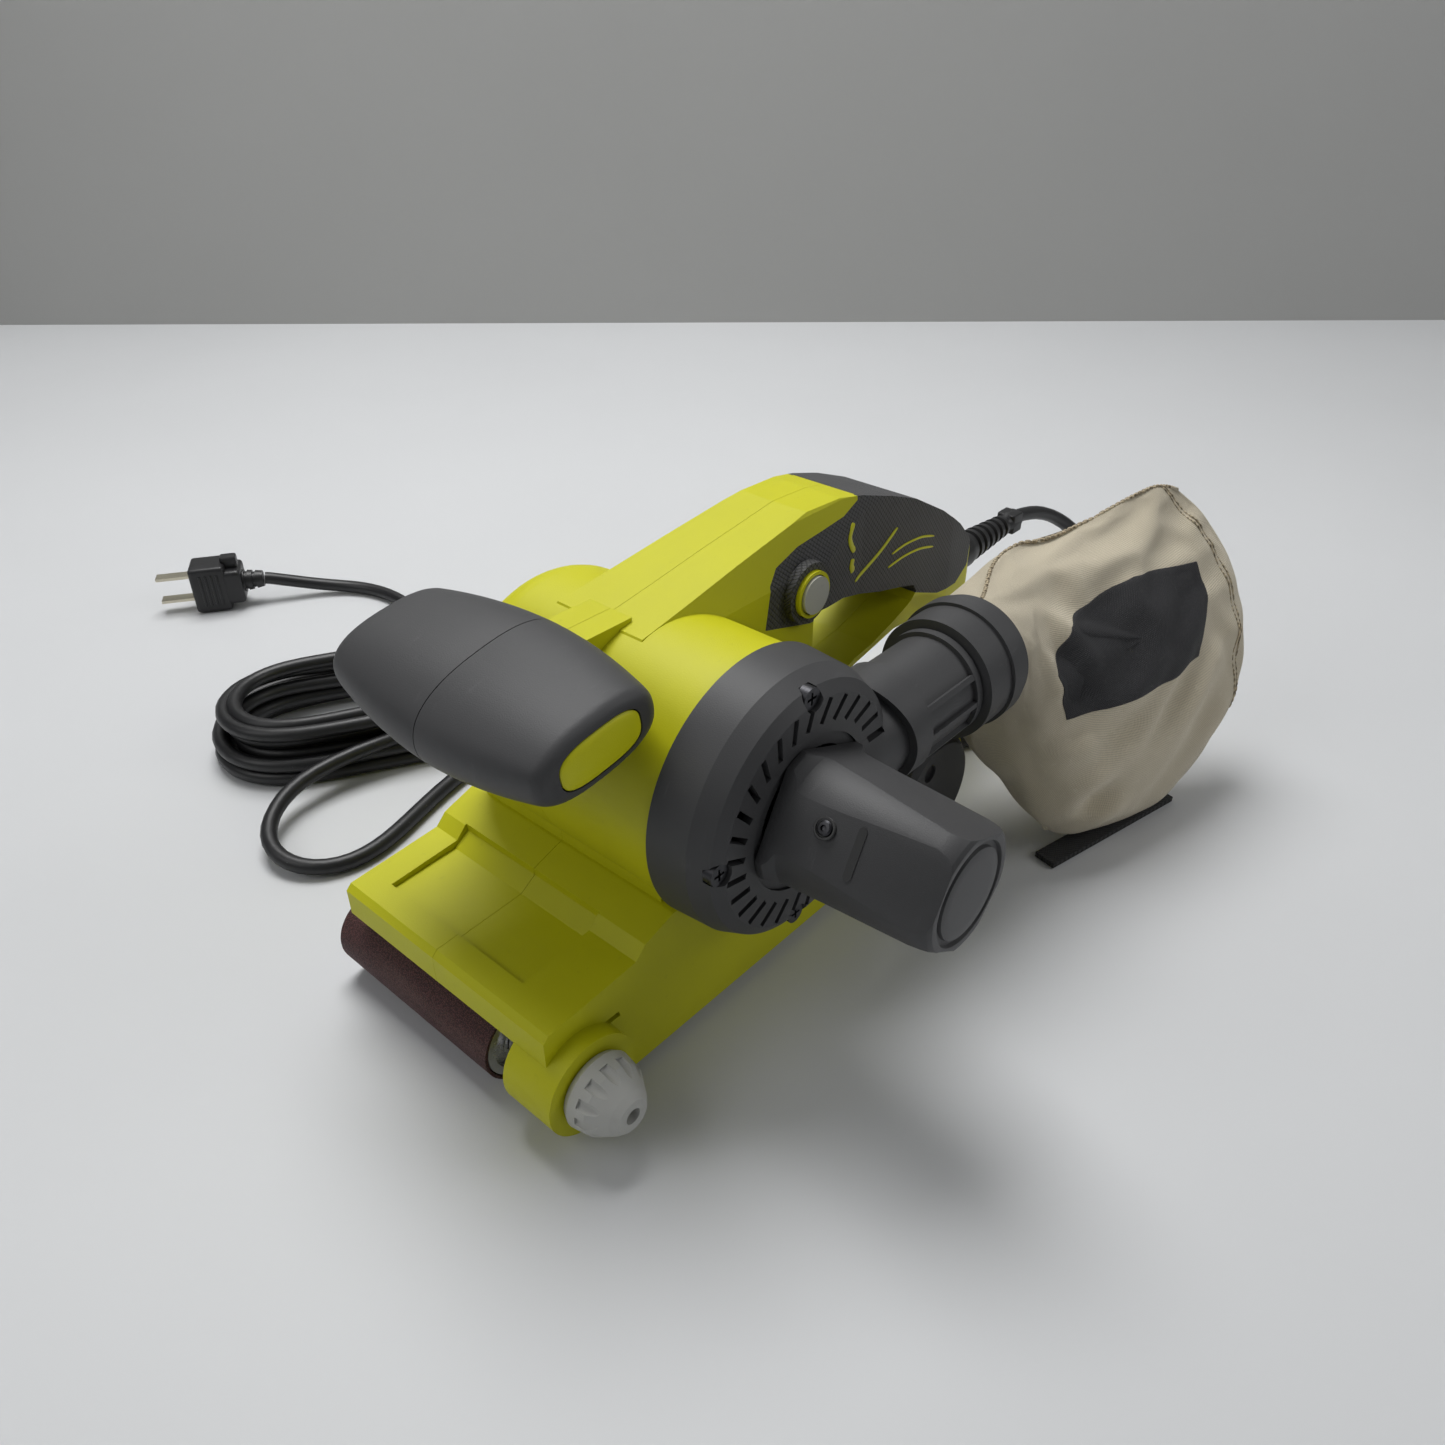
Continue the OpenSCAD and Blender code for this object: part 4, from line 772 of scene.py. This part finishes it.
class SANDER_OT_lead(bpy.types.Operator):
    """The mains lead with its loose coil, strain relief and plug"""

    bl_idname = "sander.lead"
    bl_label = "Lead"

    def execute(self, context):
        points = eased(lead_points())
        cord = cord_curve("mains_lead", points, sizes().cord / 2)
        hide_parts("supply_cord", "cord_coil", "plug_cord")
        plug = self.plug()
        self.relief()
        return {"FINISHED"}

    def relief(self):
        """The strain relief: a tapered sleeve with ring grooves and a squared end."""
        low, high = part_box("strain_relief")
        axis_y, axis_z = (low.y + high.y) / 2, (low.z + high.z) / 2
        run, start = high.x - low.x, low.x
        profile = [(0.0, 0.0076), (0.0115, 0.0078), (0.0130, 0.0078)]
        ribs = 7
        step = (run - 0.024) / ribs
        for i in range(ribs):
            at = 0.0145 + i * (run - 0.024) / ribs
            radius = 0.0074 - 0.0026 * i / ribs
            profile += [
                (at, radius), (at + step * 0.55, radius - 0.0004), (at + step * 0.62, radius - 0.0014),
                (at + step * 0.92, radius - 0.0015),
            ]
        profile += [(run - 0.008, 0.0047), (run - 0.0006, 0.0046), (run, 0.0041)]
        sleeve = turned((start, axis_y, axis_z), (1, 0, 0), profile, 40)
        half = 0.0046
        block_end = block(
            (start + run - 0.0085, axis_y - half, axis_z - half),
            (start + run - 0.0005, axis_y + half, axis_z + half), 0.0012,
        )
        piece = settle(join([sleeve, block_end]), "lead_strain_relief", "cord_rubber", "housing")
        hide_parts("strain_relief")

    def plug(self):
        """The two-blade plug: a moulded block on edge with a waisted neck, grip ribs and a finger rest."""
        at = Vector(PLUG_ROUTE[-1]) * MM
        turn = Matrix.Rotation(PLUG_TURN, 4, "Z")
        neck_profile = [
            (0, 0.0042), (0.0035, 0.0048), (0.0036, 0.0041), (0.0052, 0.0041), (0.0053, 0.0051),
            (0.0075, 0.0054), (0.0076, 0.0047), (0.0090, 0.0047), (0.0091, 0.0058), (0.0130, 0.0068),
        ]
        neck = turned((0.0008, 0, 0), (1, 0, 0), neck_profile, 32)
        waist = block((0.0105, -0.0088, -0.0092), (0.0200, 0.0088, 0.0092), 0.0026, 4)
        body = block((0.0180, -0.0089, -0.0124), (0.0359, 0.0089, 0.0124), 0.0022, 4)
        rest = block((0.0118, -0.0030, 0.0080), (0.0200, 0.0030, 0.0154), 0.0014, 3)
        ribs = [
            block((0.0215 + i * 0.0028, -0.0094, -0.0085), (0.0229 + i * 0.0028, 0.0094, 0.0085), 0.0005, 2)
            for i in range(4)
        ]
        piece = join([body, neck, waist, rest, *ribs])
        piece.data.transform(Matrix.Translation(at) @ turn)
        piece = settle(piece, "plug_moulding", "cord_rubber", "housing")
        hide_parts("plug_body")
        return piece


# ------------------------------------------------------------------ dust bag
# Upper and lower edge of the bag in side view, half its thickness and the bow of its far end, in millimetres
BAG_TOP = [
    (92.6, 105.6), (104, 107.5), (121, 110), (144, 112.5), (167, 113.5), (188, 116.5), (203, 117.5), (211, 114),
]
BAG_BOTTOM = [(92.6, 64.4), (96, 49), (102, 29), (112, 10), (137, 5), (168, 8), (197, 22), (208, 33)]
BAG_HALF = [20.6, 23.5, 26, 27, 25, 19, 11, 4.5]
BAG_BOW = [0, 0, 0, 1, 4, 9, 13, 15]
# Pinched folds: two ends in side view, depth and width, in millimetres
BAG_FOLDS = [
    ((114, 92), (121, 58), 3.4, 4.5), ((104, 60), (131, 66), 2.8, 3.5), ((111, 52), (150, 44), 2.6, 5.0),
    ((112, 24), (137, 22), 3.2, 4.0), ((113, 13), (133, 30), 2.4, 4.0), ((139, 22), (177, 52), 2.4, 5.0),
    ((150, 12), (196, 46), 2.6, 5.0), ((128, 34), (190, 62), 1.8, 6.0), ((150, 106), (190, 110), 1.8, 4.0),
    ((176, 102), (203, 96), 1.6, 4.0), ((196, 70), (212, 44), 1.8, 4.0), ((128, 102), (130, 84), 1.6, 5.0),
]
BAG_ROUND = 96
BAG_STEPS = 8
# Outline of the plain dark panel in side view, in millimetres
BAG_PANEL = [
    (118, 93), (160.5, 97.7), (196.3, 94), (196.2, 86), (179.7, 64.6), (143, 64.4), (106.2, 64.1), (105.3, 80.5),
]


def to_segment(p, a, b):
    """Distance from a point to a segment in side view, with a share that falls off at the segment's ends."""
    a, b, p = Vector(a), Vector(b), Vector(p)
    run = b - a
    t = (p - a).dot(run) / run.length_squared
    near = min(max(t, 0.0), 1.0)
    return (p - a - run * near).length, math.sin(math.pi * (0.08 + 0.84 * near))


def bag_middle(x, z, far):
    """The bag's middle surface: it leaves the tube straight and leans outwards below."""
    lean = -78.0 - 0.35 * (x - 206.0) + 0.50 * (z - 111.0)
    return -61.0 * (1 - far) + max(lean, -119.0) * far


def bag_rings():
    """Rings of the bag from its neck to its hem."""
    rows = [(*t, *b, w, bow) for t, b, w, bow in zip(BAG_TOP, BAG_BOTTOM, BAG_HALF, BAG_BOW)]
    smooth = [
        [between(*values, k / BAG_STEPS) for values in zip(*four)]
        for four in windows(rows)
        for k in range(BAG_STEPS)
    ]
    smooth.append(list(rows[-1]))
    rings = []
    for i, (tx, tz, bx, bz, half, bow) in enumerate(smooth):
        share = i / (len(smooth) - 1)
        far = eased_step(min(1.0, share / 0.42))
        depth = Vector((0.30 * far, 1.0, -0.46 * far)).normalized()
        ring = []
        for k in range(BAG_ROUND):
            a = 2 * math.pi * k / BAG_ROUND
            up, out = math.cos(a), -math.sin(a)
            out = math.copysign(abs(out) ** (1 + 0.35 * far), out)
            t = 0.5 + 0.5 * up
            x = bx + (tx - bx) * t + bow * (1 - up * up)
            z = bz + (tz - bz) * t
            place = Vector((x, bag_middle(x, z, far), z)) + depth * (half * out)
            # slack: folds towards the middle surface, and slow dents
            crease = 0.0
            for p, q, deep, wide in BAG_FOLDS:
                away, hold = to_segment((x, z), p, q)
                crease -= deep * hold * math.exp(-((away / wide) ** 2))
                crease += 0.45 * deep * hold * math.exp(-(((away - 1.9 * wide) / (wide * 0.8)) ** 2))
            if out > 0:
                crease = 0.6 * crease
            q = z - 0.55 * (x - 110)
            sway = noise.noise(Vector((x * 0.022, out * 0.7, z * 0.03)))
            wave = math.sin(q * 2 * math.pi / 19 + 3.2 * sway) * (1.1 if z < 62 else 0.45)
            dent = noise.noise(Vector((x * 0.045 + 3, out * 1.5, z * 0.05))) * 1.9
            fine = noise.noise(Vector((x * 0.13, out * 3.0, z * 0.14 + 5))) * 0.45
            loose = min(1.0, share * 9) * min(1.0, (1.04 - share) * 9) * min(1.0, abs(out) * 2.5 + 0.25)
            push = (crease + wave + dent + fine) * loose
            place += depth * (push if out >= 0 else -push)
            place.z += 0.5 * dent * loose * abs(up) ** 3
            ring.append(place * MM)
        rings.append(ring)
    return rings


def puff(piece, held, frames, pressure, cap):
    """Fills a cloth shell with a little air in a short simulation that moves no point further than the cap."""
    group = piece.vertex_groups.new(name="held")
    group.add(held, 1.0, "REPLACE")
    before = [v.co.copy() for v in piece.data.vertices]
    only(piece)
    cloth = piece.modifiers.new("Cloth", "CLOTH")
    s = cloth.settings
    s.quality = 6
    s.mass = 0.05
    s.tension_stiffness = s.compression_stiffness = 12.0
    s.shear_stiffness = 6.0
    s.bending_stiffness = 0.6
    s.vertex_group_mass = "held"
    s.use_pressure = True
    s.uniform_pressure_force = pressure
    s.effector_weights.gravity = 0.15
    cloth.collision_settings.use_collision = False
    cloth.point_cache.frame_start = 1
    cloth.point_cache.frame_end = frames
    for frame_number in range(1, frames + 1):
        bpy.context.scene.frame_set(frame_number)
    bpy.ops.object.modifier_apply(modifier=cloth.name)
    bpy.context.scene.frame_set(1)
    for vertex, start in zip(piece.data.vertices, before):
        moved = vertex.co - start
        if moved.length > cap:
            vertex.co = start + moved.normalized() * cap
    piece.vertex_groups.clear()


def surface_of(piece):
    """A tree for casting rays on a piece's mesh."""
    bm = bmesh.new()
    bm.from_mesh(piece.data)
    tree = BVHTree.FromBMesh(bm)
    bm.free()
    return tree


def drape(tree, x, z, side, lift):
    """The point of a surface that shows from one side at x, z, raised a little, or None; all in metres."""
    hit = tree.ray_cast(Vector((x, side * 0.25, z)), Vector((0, -side, 0)))[0]
    if hit is None:
        return None
    return hit + Vector((0, side, 0)) * lift


def ribbon(tree, path, width, side):
    """A low raised strip that follows a path in side view over a surface; path and width in millimetres."""
    rise, sink, end = 0.0004, 0.0008, 0.5
    line = [Vector(p) for p in catmull([(x, z, 0) for x, z in path], 8)]
    rings = []
    for i, p in enumerate(line):
        ahead = heading_at(line, i)
        across = Vector((-ahead.y, ahead.x, 0))
        share = i / (len(line) - 1)
        half = width / 2 * (end + (1 - end) * min(1.0, min(share, 1 - share) * 10))
        ring = []
        left = [(-1, -sink), (-1, rise * 0.5), (-0.6, rise)]
        for offset, lift in left + [(-u, height) for u, height in reversed(left)]:
            q = p + across * (half * offset)
            point = drape(tree, q.x * MM, q.y * MM, side, lift)
            if point is None:
                break
            ring.append(point)
        if len(ring) == 6:
            rings.append(ring)
    if len(rings) < 2:
        raise RuntimeError("a raised strip misses its surface")
    return loft(rings)


def plate(tree, outline, side, rise, sink, rows, steps):
    """A thin pad on a surface, inside an outline in side view, with rows inside it and steps on each side."""
    rim = [
        Vector((*a, 0)).lerp(Vector((*b, 0)), k / steps)
        for a, b in zip(outline, outline[1:] + outline[:1])
        for k in range(steps)
    ]
    middle = sum(rim, Vector()) / len(rim)
    rings = []
    shares = [0.02] + [i / rows for i in range(1, rows + 1)]
    for share in shares:
        ring = []
        for p in rim:
            q = middle.lerp(p, share)
            point = drape(tree, q.x * MM, q.y * MM, side, rise if share < 0.999 else rise * 0.55)
            if point is None:
                raise RuntimeError("a pad misses its surface")
            ring.append(point)
        rings.append(ring)
    rings.append([drape(tree, p.x * MM, p.y * MM, side, -sink) for p in rim])
    rings += [[p + Vector((0, -side * (sink + 0.0002), 0)) for p in rings[0]]]
    return loft(rings)


class SANDER_OT_dust_bag(bpy.types.Operator):
    """The canvas dust bag: its shell, black panel, hem stitching and side seam"""

    bl_idname = "sander.dust_bag"
    bl_label = "Dust Bag"

    def execute(self, context):
        rings = bag_rings()
        bag = loft(rings)
        edit(bag, self.open_neck)
        last = (len(rings) - 1) * BAG_ROUND
        held = [*range(2 * BAG_ROUND), *range(last - BAG_ROUND, last + BAG_ROUND)]
        puff(bag, held, frames=16, pressure=1.6, cap=0.004)
        self.weave(bag, rings)
        seam = [bag.data.vertices[i * BAG_ROUND].co.copy() for i in range(1, len(rings) - 1)]
        hems = [
            [bag.data.vertices[(len(rings) - n) * BAG_ROUND + k].co.copy() for k in range(BAG_ROUND)]
            for n in (8, 9)
        ]
        modify(bag, "SUBSURF", levels=1, render_levels=1)
        tree = surface_of(bag)
        modify(bag, "SOLIDIFY", thickness=sizes().canvas, offset=-1.0)
        bag = settle(bag, "canvas_bag", "canvas", "bag", 60)
        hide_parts("dust_bag")
        panel = plate(tree, BAG_PANEL, -1, 0.0006, 0.0002, rows=22, steps=14)
        settle(panel, "bag_panel", "zip_tape", "bag", 40)
        coat(panel, printed_panel("printed black panel"))
        stitches = [self.stitching(ring + ring[:1], 0.00042) for ring in hems]
        stitches.append(self.stitching(seam, 0.00075))
        thread = join(stitches)
        settle(thread, "bag_stitching", "canvas", "bag", 60)
        coat(thread, woven_tape("cotton thread", (0.30, 0.25, 0.17)))
        return {"FINISHED"}

    def open_neck(self, bm):
        """Opens the neck, where the shell's rings begin."""
        bm.faces.ensure_lookup_table()
        low = min(v.co.x for v in bm.verts)
        neck = [f for f in bm.faces if len(f.verts) > 4 and max(v.co.x for v in f.verts) < low + 0.002]
        bmesh.ops.delete(bm, geom=neck, context="FACES_ONLY")

    def weave(self, bag, rings):
        """A UV map in metres along and round the cloth."""
        girth = 0.22
        runs = [0.0]
        for a, b in zip(rings, rings[1:]):
            runs.append(runs[-1] + sum((q - p).length for p, q in zip(a, b)) / BAG_ROUND)
        layer = bag.data.uv_layers.new(name="weave")
        for polygon in bag.data.polygons:
            spots = [divmod(bag.data.loops[i].vertex_index, BAG_ROUND) for i in polygon.loop_indices]
            wraps = {k for _, k in spots}
            for i, (ring, k) in zip(polygon.loop_indices, spots):
                if len(wraps) < 4 and 0 in wraps and BAG_ROUND - 1 in wraps and k == 0:
                    k = BAG_ROUND
                layer.data[i].uv = (runs[min(ring, len(runs) - 1)], k * girth / BAG_ROUND)

    def stitching(self, path, radius):
        """A stitched thread along a path: a round cord that swells at each stitch."""
        line = [Vector(p) for p in catmull(path, 4)]
        rings = []
        spin = Vector((0, 0, 1))
        for i, p in enumerate(line):
            ahead = heading_at(line, i)
            side = ahead.cross(spin)
            if side.length < 1e-4:
                side = ahead.cross(Vector((1, 0, 0)))
            side.normalize()
            spin = side.cross(ahead).normalized()
            r = radius * (1.0 if i % 4 < 3 else 0.45)
            turns = (k * math.pi / 3 for k in range(6))
            rings.append([p + (side * math.cos(a) + spin * math.sin(a)) * r for a in turns])
        return loft(rings)


# ------------------------------------------------------------------ front handle
# Lean of the handle's section, and half the gap of the seam between its two halves
HANDLE_TILT = math.radians(9)
SEAM_HALF = 0.00016


def rounded(a, b, n, count):
    """Points of a squarish oval with half axes a and b."""
    out = []
    for k in range(count):
        t = 2 * math.pi * k / count
        c, s = math.cos(t), math.sin(t)
        out.append((math.copysign(abs(c) ** (2 / n), c) * a, math.copysign(abs(s) ** (2 / n), s) * b))
    return out


def bar_section(y, grow=0.0):
    """Section of the front handle across its length, at y millimetres from the middle."""
    share = abs(y) / 46.0
    a = 27.5 - 6.5 * share**2.0 + grow
    b = 15.2 - 4.9 * share**1.8 + grow
    cx, cz = -68.0 - 1.5 * share, 118.6 + 2.6 * share
    points = []
    for u, v in rounded(a, b, 2.5, 64):
        v += 1.6 * (u / a) * (1 - share) if v > 0 else 0.0
        u, v = tilted(u, v, HANDLE_TILT)
        points.append(Vector((cx + u, y, cz + v)) * MM)
    return points


class SANDER_OT_front_handle(bpy.types.Operator):
    """The two moulded halves of the front handle, with their seam and oval inserts"""

    bl_idname = "sander.front_handle"
    bl_label = "Front Handle"

    def execute(self, context):
        # the ends round over into flat faces
        stations = [(-46, -3.4), (-45.7, -2.0), (-44.8, -0.8), (-43, 0)] + [(y, 0) for y in range(-38, 0, 6)]
        stations += [(0, 0)] + [(-y, g) for y, g in reversed(stations)]
        rings = [bar_section(y, g) for y, g in stations]
        bar = loft(rings)
        neck_rows = [
            (-70, 19, 11.5, 118.0), (-58, 16.5, 11.5, 120.5), (-50, 13.0, 9.2, 121.2), (-45, 10.4, 6.6, 120.4),
            (-41.3, 9.2, 5.4, 119.0),
        ]
        neck = loft([[Vector((x, u, z + v)) * MM for u, v in rounded(a, b, 2.8, 48)] for x, a, b, z in neck_rows])
        body = join([bar, neck])
        modify(body, "REMESH", mode="VOXEL", voxel_size=0.0009)
        modify(body, "SMOOTH", factor=0.5, iterations=7)
        for side in (-1, 1):
            pocket = self.oval(side, 14.6, 7.0, 43.4, 49.0, 0.0)
            modify(body, "BOOLEAN", operation="DIFFERENCE", object=pocket, solver="EXACT")
            bpy.data.objects.remove(pocket)
        for side, name in ((-1, "left"), (1, "right")):
            half = body.copy()
            half.data = body.data.copy()
            context.scene.collection.objects.link(half)
            in_edit_mode(
                half, bpy.ops.mesh.bisect, plane_co=(0, side * SEAM_HALF, 0), plane_no=(0, side, 0),
                use_fill=True, clear_inner=True,
            )
            half = settle(half, f"front_handle_shell_{name}", "grey_plastic", "housing", 40)
            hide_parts(f"front_handle_{name}")
        bpy.data.objects.remove(body)
        ovals = [self.oval(side, 14.2, 6.6, 43.6, 46.3, 0.7) for side in (-1, 1)]
        inserts = settle(join(ovals), "front_handle_ovals", "lime_accent", "housing", 40)
        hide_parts("front_handle_inserts")
        return {"FINISHED"}

    def oval(self, side, a, b, start, stop, crown):
        """A squarish oval plug in one end of the bar."""
        rows = [(start, 0.0), (stop, 0.0)]
        if crown:
            rows[1:] = [(stop - 0.5, 0.0), (stop, 0.5), (stop + crown * 0.6, 2.2), (stop + crown, 5.0)]
        rings = []
        for y, inset in rows:
            leant = [tilted(u, v, HANDLE_TILT) for u, v in rounded(a - inset, b - inset, 3.0, 56)]
            rings.append([Vector((-69.5 + u, side * y, 121.2 + v)) * MM for u, v in leant])
        return loft(rings)


# ------------------------------------------------------------------ handle trim
# Paths of the strokes in side view and their widths, in millimetres
STROKES = (
    ([(76.5, 127), (74.2, 122.5), (75.8, 118.5), (78, 116)], 2.4),
    ([(77.3, 113.2), (76.6, 110.6), (78, 108.2)], 2.8),
    ([(80, 103.2), (88, 106.0), (97, 109.8), (106, 115)], 1.5),
    ([(104, 105.2), (113, 106.0), (124, 105.0), (134, 102)], 0.9),
    ([(102, 100.4), (112, 101.2), (123, 100.4), (134, 97.5)], 0.9),
)


class SANDER_OT_handle_trim(bpy.types.Operator):
    """Accent strokes moulded into the grip"""

    bl_idname = "sander.handle_trim"
    bl_label = "Handle Trim"

    def execute(self, context):
        strokes = []
        for side, name in ((-1, "left"), (1, "right")):
            both = bmesh.new()
            for node in (f"grip_skin_{name}", f"{name}_housing"):
                both.from_mesh(NODES[node].data)
            bmesh.ops.remove_doubles(both, verts=both.verts, dist=1e-6)
            tree = BVHTree.FromBMesh(both)
            both.free()
            strokes += [ribbon(tree, path, width, side) for path, width in STROKES]
        settle(join(strokes), "grip_accents", "lime_accent", "housing", 30)
        return {"FINISHED"}


# ------------------------------------------------------------------ nose
# Directions of the nose's four flats round its axis, in degrees from +X
NOSE_FLATS = (152, 68, 236, 318)
# Slots round the nose: place along it in metres, and the directions they run through
NOSE_SLOTS = ((-0.0270, range(128, 176, 3)), (-0.0265, range(222, 250, 3)))
NOSE_SCREW = 142


class SANDER_OT_nose(bpy.types.Operator):
    """The motor's nose cover, with its four sloping flats, ring groove, slots and screw"""

    bl_idname = "sander.nose"
    bl_label = "Nose Cover"

    def execute(self, context):
        low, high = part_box("nose_cover")
        middle = Vector(((low.x + high.x) / 2, high.y, (low.z + high.z) / 2))
        reach = high.y - low.y
        root = (high.x - low.x) / 2
        profile = [
            (0.0, root), (0.0022, root), (0.0036, root - 0.0010), (0.0050, root - 0.0026), (0.0075, root - 0.0030),
            (0.020, root - 0.0036), (reach - 0.006, 0.0208), (reach - 0.0025, 0.0201), (reach - 0.0008, 0.0192),
            (reach, 0.0178), (reach, 0.0158), (reach - 0.0011, 0.0155), (reach - 0.0011, 0.0140), (reach, 0.0137),
            (reach + 0.0002, 0.0100), (reach + 0.0003, 0.0010),
        ]
        nose = turned(middle, (0, -1, 0), profile, 96)
        for turn in NOSE_FLATS:
            out = spoke(turn)
            slope = Vector((out.x, -0.075, out.z)).normalized()
            through = middle + out * (root - 0.0058) + Vector((0, -0.021, 0))
            in_edit_mode(
                nose, bpy.ops.mesh.bisect, plane_co=through, plane_no=slope, use_fill=True, clear_outer=True
            )
        outwards(nose)
        modify(nose, "BEVEL", width=0.0005, segments=2, limit_method="ANGLE", angle_limit=math.radians(24))
        nose = settle(nose, "nose_shell", "grey_plastic", "housing", 30)
        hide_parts("nose_cover")
        tree = surface_of(nose)
        # the slots are dark strips in the carbon finish: painted shade where the nose has openings
        slots = join([self.slot_line(tree, middle, along, turns) for along, turns in NOSE_SLOTS])
        settle(slots, "nose_slots", "carbon", "housing", 40)
        out = spoke(NOSE_SCREW)
        at = self.skin(tree, middle, -0.0165, out)
        cup_profile = [
            (0, 0.0034), (0.0009, 0.0034), (0.0012, 0.0031), (0.0012, 0.0027), (0.0004, 0.0026), (0.0003, 0.0006),
        ]
        # the cup round the screw is in the dark carbon finish: painted shade in the screw's recess
        settle(turned(at - out * 0.0006, out, cup_profile, 32), "nose_screw_cup", "carbon", "housing", 30)
        head_profile = [
            (0, 0.0022), (0.0013, 0.0022), (0.0018, 0.0017), (0.0019, 0.0009), (0.0011, 0.0008), (0.0010, 0.0003),
        ]
        settle(turned(at - out * 0.0008, out, head_profile, 24), "nose_screw", "dark_fixings", "housing", 30)
        return {"FINISHED"}

    def skin(self, tree, middle, along, out):
        """The nose's surface in one direction from its axis."""
        at = tree.ray_cast(middle + Vector((0, along, 0)) + out * 0.06, -out)[0]
        if at is None:
            raise RuntimeError("a ray misses the nose")
        return at

    def slot_line(self, tree, middle, along, turns):
        """A slot round part of the nose, as a low dark strip: painted shade that stands in for the opening."""
        rise, sink = 0.0002, 0.0008
        outs = [spoke(turn) for turn in turns]
        rings = []
        for i, out in enumerate(outs):
            at = self.skin(tree, middle, along, out)
            side = Vector((0, 1, 0)) * (0.0013 if 0 < i < len(outs) - 1 else 0.0005)
            top, foot = at + out * rise, at - out * sink
            rings.append([top - side, top + side, foot + side, foot - side])
        return loft(rings)


# ------------------------------------------------------------------ carried-over nodes
class SANDER_OT_node_finishes(bpy.types.Operator):
    """Finishes of the frame's own nodes"""

    bl_idname = "sander.node_finishes"
    bl_label = "Node finishes"

    def execute(self, context):
        slots = {s["node"]: s["material_slot"] for s in frame["record"]["subparts"]}
        grip = diamond_grip("diamond grip", tuple(colours().grip))
        for name, node in NODES.items():
            coat(node, grip if name.startswith("grip_skin") else finish_of(slots[name]))
        return {"FINISHED"}


# ------------------------------------------------------------------ panel and run
OPERATORS = [
    SANDER_OT_stage,
    SANDER_OT_lead,
    SANDER_OT_dust_bag,
    SANDER_OT_front_handle,
    SANDER_OT_handle_trim,
    SANDER_OT_nose,
    SANDER_OT_node_finishes,
]


class SANDER_PT_panel(bpy.types.Panel):
    """Settings and steps of the belt sander"""

    bl_label = "Belt Sander"
    bl_idname = "SANDER_PT_panel"
    bl_space_type = "VIEW_3D"
    bl_region_type = "UI"
    bl_category = "Belt Sander"

    def draw(self, context):
        layout = self.layout
        for group in (context.scene.sander_colours, context.scene.sander_sizes):
            for key in group.__annotations__:
                layout.prop(group, key)
        for operator in OPERATORS:
            layout.operator(operator.bl_idname)


CLASSES = [SanderColours, SanderSizes, *OPERATORS, SANDER_PT_panel]


def register():
    """Registers the classes and the scene's settings."""
    for cls in CLASSES:
        bpy.utils.register_class(cls)
    bpy.types.Scene.sander_colours = PointerProperty(type=SanderColours)
    bpy.types.Scene.sander_sizes = PointerProperty(type=SanderSizes)


def unregister():
    """Takes the classes and settings away again."""
    del bpy.types.Scene.sander_sizes
    del bpy.types.Scene.sander_colours
    for cls in reversed(CLASSES):
        bpy.utils.unregister_class(cls)


def main():
    """Makes every piece in order."""
    register()
    for operator in OPERATORS:
        group, action = operator.bl_idname.split(".")
        getattr(getattr(bpy.ops, group), action)()


if __name__ == "__main__":
    main()
